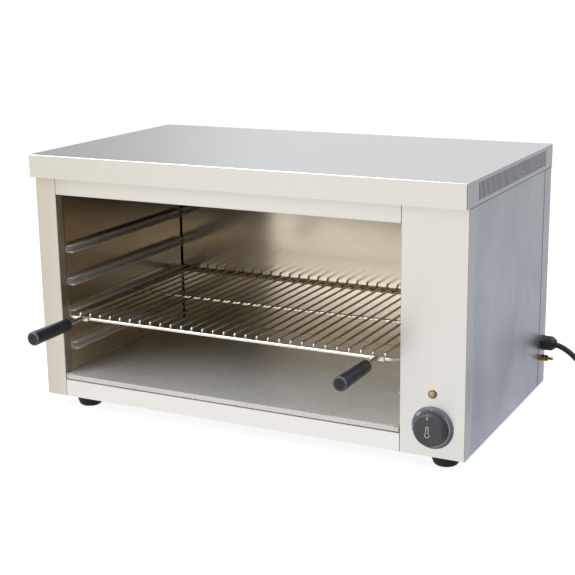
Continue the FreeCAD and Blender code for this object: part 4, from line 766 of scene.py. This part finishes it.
def addNut(mesh, start, thick, flats, bore, centre):
    corner = flats / 2 / math.cos(math.pi / 6)
    profile = [(bore, start), (corner - 0.75, start), (corner, start + 0.5), (corner, start + thick - 0.5),
               (corner - 0.75, start + thick), (bore, start + thick)]
    turnInto(mesh, profile, centre, (1, 0, 0), 96, sixSided(flats))


def addBondingTerminal():
    axis = middleOf("bonding_stud")
    centre = (bondLook["panel"], axis.y, axis.z)
    stack = bmesh.new()
    edge = 0.0
    bore, tip, inside, reach, pitch = sizes(bondLook, "studRadius", "tipRadius", "inside", "reach", "pitch")
    for kind in ("washerThick", "nut", "springThick", "nut"):
        thick = bondLook[kind]
        if kind == "nut":
            addNut(stack, edge, thick, bondLook["flats"], bore, centre)
        else:
            wide, bevel = bondLook["washer"], bondLook["bevel"]
            washer = [(bore, edge), (wide - bevel, edge), (wide, edge + bevel), (wide, edge + thick - bevel),
                      (wide - bevel, edge + thick), (bore, edge + thick)]
            turnInto(stack, washer, centre, (1, 0, 0), 64)
        edge += thick
    addNut(stack, -bondLook["sheet"] - bondLook["nut"], bondLook["nut"], bondLook["flats"], bore, centre)
    addPiece("bondNuts", stack, "turnedBrass", "cabinet", "terminal_brass", "bonding_nuts", sharp=28)
    thread = [(0, -inside), (bore, -inside), (bore, edge)]
    ridge = edge + 0.3
    while ridge < reach - 1.2:
        thread += [(tip - 0.15, ridge), (tip + 0.25, ridge + pitch / 2)]
        ridge += pitch
    thread += [(tip - 0.1, reach - 0.7), (tip - 0.6, reach), (0, reach)]
    addPiece("bondStud", turned(thread, centre, (1, 0, 0), 48), "turnedBrass", "cabinet", "terminal_brass",
             "bonding_stud")


addBondingTerminal()

# Casing joints: a fine dark bead below the lid, painted shade of its overhang, and down each rear corner's
# seam
jointLook = {"side": 400.0, "proud": 0.7, "wide": 1.7, "lidEdge": 401.0, "rearSeam": 401.5, "seamWide": 1.3,
             "deep": 442.0}


def addBead(mesh, start, end, across, outward):
    # a half-round run between two points; across and outward are its half width and its height
    rings, steps = [], 8
    for point in (start, end):
        angles = [math.pi * i / steps for i in range(steps + 1)]
        spots = [Vector(point) + across * math.cos(angle) + outward * math.sin(angle) for angle in angles]
        rings.append([mesh.verts.new(place(*spot)) for spot in spots])
    for i in range(steps):
        mesh.faces.new((rings[0][i], rings[0][i + 1], rings[1][i + 1], rings[1][i]))
    for ring in rings:
        mesh.faces.new(ring)
    mesh.faces.new((rings[0][0], rings[0][-1], rings[1][-1], rings[1][0]))


def addJoints():
    mesh = bmesh.new()
    lidEdge = jointLook["lidEdge"] - jointLook["wide"] / 2
    for side in (-1, 1):
        x = side * jointLook["side"]
        proud = Vector((side * jointLook["proud"], 0, 0))
        addBead(mesh, (x, 1.0, lidEdge), (x, jointLook["deep"], lidEdge),
                Vector((0, 0, jointLook["wide"] / 2)), proud)
        addBead(mesh, (x, jointLook["rearSeam"], 1.0), (x, jointLook["rearSeam"], lidEdge),
                Vector((0, jointLook["seamWide"] / 2, 0)), proud / 2)
    addPiece("casingJointShade", mesh, "jointShadeBead", "cabinet", "casing_steel", sharp=40)


addJoints()

# Baffle: a pleated dark strip inside the lid's skirt, which darkens the slots: painted shade
baffleLook = {"outer": 399.6, "inner": 397.4, "pleat": 3.1, "start": 34.0, "end": 401.0, "low": 404.0,
              "high": 438.0, "thick": 0.5}


def addBaffles():
    mesh = bmesh.new()
    low, high, sheet = sizes(baffleLook, "low", "high", "thick")
    pleats = round((baffleLook["end"] - baffleLook["start"]) / baffleLook["pleat"])
    for side in (-1, 1):
        columns = []
        for i in range(pleats + 1):
            x = baffleLook["outer"] if i % 2 else baffleLook["inner"]
            y = baffleLook["start"] + i * baffleLook["pleat"]
            corners = [(0, low), (0, high), (sheet, high), (sheet, low)]
            columns.append([mesh.verts.new(place(side * (x - inward), y, z)) for inward, z in corners])
        for a, b in zip(columns, columns[1:]):
            for k in range(4):
                mesh.faces.new((a[k], a[(k + 1) % 4], b[(k + 1) % 4], b[k]))
        for column in (columns[0], columns[-1]):
            mesh.faces.new(column)
    addPiece("slotShadeBaffles", mesh, "slotShadeBaffleSteel", "cabinet", "casing_steel", sharp=20)


addBaffles()

# Rear screws: pan heads with a cross recess
screwLook = {"head": 3.8, "tall": 2.2, "shank": 2.0, "long": 8.0, "slotHalf": 0.5, "slotDeep": 1.1,
             "crossReach": 2.1, "panel": 443.0, "crown": [(2.8, 0.5), (3.4, 1.0)], "tip": 1.4, "ring": 0.3,
             "fall": 0.035, "rings": 7}


def addRearScrews():
    low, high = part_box("back_screws")
    axis = (low + high) / 2 * 1000 - drawingStart
    spread = (high.x - low.x) * 1000 / 2 - screwLook["head"]
    mesh = bmesh.new()

    def cross(angle, radius):
        nearAxis = min(abs(math.cos(angle)), abs(math.sin(angle))) * radius < screwLook["slotHalf"]
        return screwLook["slotDeep"] if nearAxis and radius < screwLook["crossReach"] else 0

    head, tall, shank, long, tip = sizes(screwLook, "head", "tall", "shank", "long", "tip")
    ring, fall = sizes(screwLook, "ring", "fall")
    shaft = [(shank, 0.0), (shank, 0.6 - long), (tip, -long), (0, -long)]
    for share in (-1, 0, 1):
        centre = (axis.x + share * spread, screwLook["panel"], axis.z)
        dome = [(0.02, tall)] + [(ring * i, tall - fall * i) for i in range(1, screwLook["rings"] + 1)]
        dome += [(radius, tall - drop) for radius, drop in screwLook["crown"]]
        dome += [(head - 0.05, 0.5), (head, 0.0)]
        turnInto(mesh, dome, centre, (0, 1, 0), 64, None, cross)
        turnInto(mesh, shaft, centre, (0, 1, 0), 32)
    addPiece("rearScrews", mesh, "zincPlatedSteel", "cabinet", "zinc_steel", "back_screws", sharp=30)


addRearScrews()


def addPlug():
    # a moulded two-pin plug with a ribbed boot and a waisted grip, no maker's form
    way = coilHeading(coilLook["turns"])
    rear = coilPoint(coilLook["turns"]) + way * cordLook["tail"]
    way = Vector((way.x, way.y, 0)).normalized()
    boot, wide, neck, long = sizes(plugLook, "boot", "radius", "neck", "body")
    profile = [(0, 0), (plugLook["bootRadius"] - 0.8, 0), (plugLook["bootRadius"], 0.6)]
    ribs, ribWide, groove, edge = sizes(plugLook, "ribs", "ribWide", "ribDeep", "edge")
    for i in range(ribs):
        start, share = 2.0 + i * (boot - 4) / ribs, (i + 0.5) / ribs
        radius = plugLook["bootRadius"] + (neck - plugLook["bootRadius"]) * share
        profile += [(radius, start), (radius, start + ribWide), (radius - groove, start + ribWide + 0.5),
                    (radius - groove, start + ribWide + 1.6)]
    profile += [(neck, boot), (neck + 3.6, boot + 2.2), (neck + 7.4, boot + 6.0), (wide - 0.4, boot + 9.0)]
    profile += [(wide + wider, boot + along) for wider, along in plugLook["waist"]]
    profile += roundedCorner((wide - edge, boot + long - edge), edge, 0, 90, 6) + [(0, boot + long)]

    def gripped(angle, radius, along):
        depth = plugLook["fingerDeep"] * (0.5 - 0.5 * math.cos(plugLook["fingers"] * angle))
        return radius - depth if boot + 12 < along < boot + 24 and radius > neck + 4 else radius

    plug = addPiece("plugMoulding", turned(profile, rear, way, 144, gripped), "mouldedNylon", "cabinet",
                    "cord_rubber", "plug_body", sharp=40)
    pins = bmesh.new()
    beside = Vector((-way.y, way.x, 0))
    face, thick, sleeve = boot + long, plugLook["pin"], plugLook["sleeve"]
    end = face + plugLook["pinLong"]
    pin = [(0, face - 1), (thick, face - 1), (thick, face + sleeve), (thick - 0.12, face + sleeve + 0.1)]
    pin += [(r - 0.12, a) for r, a in roundedCorner((thick - 1.6, end - 1.6), 1.6, 0, 90, 6)] + [(0, end)]
    for side in (-1, 1):
        turnInto(pins, pin, rear + beside * side * plugLook["pinApart"], way, 40)
    prongs = addPiece("plugProngs", pins, "nickelledBrass", "cabinet", "plug_nickel", "plug_pins", sharp=40)
    return [plug, prongs]


plugParts = addPlug()
print("gland, terminal, screws and plug made")


studio = {
    "room": "#c4c5c8",
    # direction looked in, colour, and the angles from it where it fades out and is full
    "walls": [
        ((-0.46, -0.86, -0.34), "#fdfdfd", 66, 30),
        ((-0.46, -0.86, 0.06), "#f3ecdf", 30, 8),
        ((-0.88, -0.45, 0.02), "#e3d9c6", 36, 12),
        ((0.46, 0.86, -0.22), "#c3c5ca", 74, 36),
        ((0.46, 0.86, -0.50), "#b6bbc6", 30, 8),
        ((0.46, 0.86, 0.05), "#8f8f8e", 21, 8),
        ((-0.46, 0.86, 0.24), "#e4e5e7", 50, 26),
        ((-0.75, 0.63, 0.20), "#a3a4a7", 22, 12),
        ((0.57, -0.81, -0.10), "#4d4a45", 40, 20),
    ],
    # name, place and width in metres, watts
    "lamps": [("softbox", (-1.5, -1.7, 2.5), 2.0, 52.0), ("fill", (2.0, 0.6, 2.2), 2.2, 26.0)],
    "aim": (0, 0, 0.2),
    "floor": "#8c8c8c",
    "floorHalf": 6,
    "floorGlow": 0.88,
}


def addWorld():
    world = bpy.data.worlds.new("studio")
    world.use_nodes = True
    bpy.context.scene.world = world
    tree = world.node_tree
    background = tree.nodes["Background"]
    looked = addNode(tree, "TexCoord", {}).outputs["Generated"]
    tone = addNode(tree, "RGB", {}).outputs[0]
    tone.default_value = linear(studio["room"])
    for direction, colour, fade, full in studio["walls"]:
        start, end = math.cos(math.radians(fade)), math.cos(math.radians(full))
        tone = painted(tree, tone, colour,
                       towardsWay(tree, looked, Vector(direction).normalized(), start, end))
    seen = addNode(tree, "LightPath", {}).outputs["Is Camera Ray"]
    shown = addNode(tree, "Mix", {"data_type": "RGBA", 7: (1, 1, 1, 1), "Factor": seen, 6: tone})
    tree.links.new(shown.outputs[2], background.inputs["Color"])


def addFloor():
    # seen straight it is white and keeps the shadow; in gloss the studio's own tones show through it
    mesh = bpy.data.meshes.new("studioFloor")
    half = studio["floorHalf"]
    mesh.from_pydata([(-half, -half, 0), (half, -half, 0), (half, half, 0), (-half, half, 0)], [],
                     [(0, 1, 2, 3)])
    floor = bpy.data.objects.new("studioFloor", mesh)
    bpy.context.scene.collection.objects.link(floor)
    material, tree, shader = newMaterial("studioFloorPaint", Base_Color=linear(studio["floor"]),
                                         Roughness=0.9)
    output = tree.nodes["Material Output"]
    rays = addNode(tree, "LightPath", {})
    strength = reckoned(tree, "MULTIPLY", rays.outputs["Is Camera Ray"], studio["floorGlow"])
    glow = addNode(tree, "Emission", {"Color": (1, 1, 1, 1), "Strength": strength})
    lit = addNode(tree, "AddShader", {0: shader.outputs[0], 1: glow.outputs[0]})
    clear = addNode(tree, "BsdfTransparent", {})
    mixed = addNode(tree, "MixShader", {
        0: rays.outputs["Is Glossy Ray"], 1: lit.outputs[0], 2: clear.outputs[0]})
    tree.links.new(mixed.outputs[0], output.inputs["Surface"])
    mesh.materials.append(material)


def addLamps():
    for name, spot, size, power in studio["lamps"]:
        lamp = bpy.data.lights.new(name, "AREA")
        lamp.size = size
        lamp.energy = power
        holder = bpy.data.objects.new(name, lamp)
        holder.location = spot
        holder.rotation_euler = (Vector(studio["aim"]) - Vector(spot)).to_track_quat("-Z", "Y").to_euler()
        bpy.context.scene.collection.objects.link(holder)


addWorld()
addFloor()
addLamps()
print("studio lit")
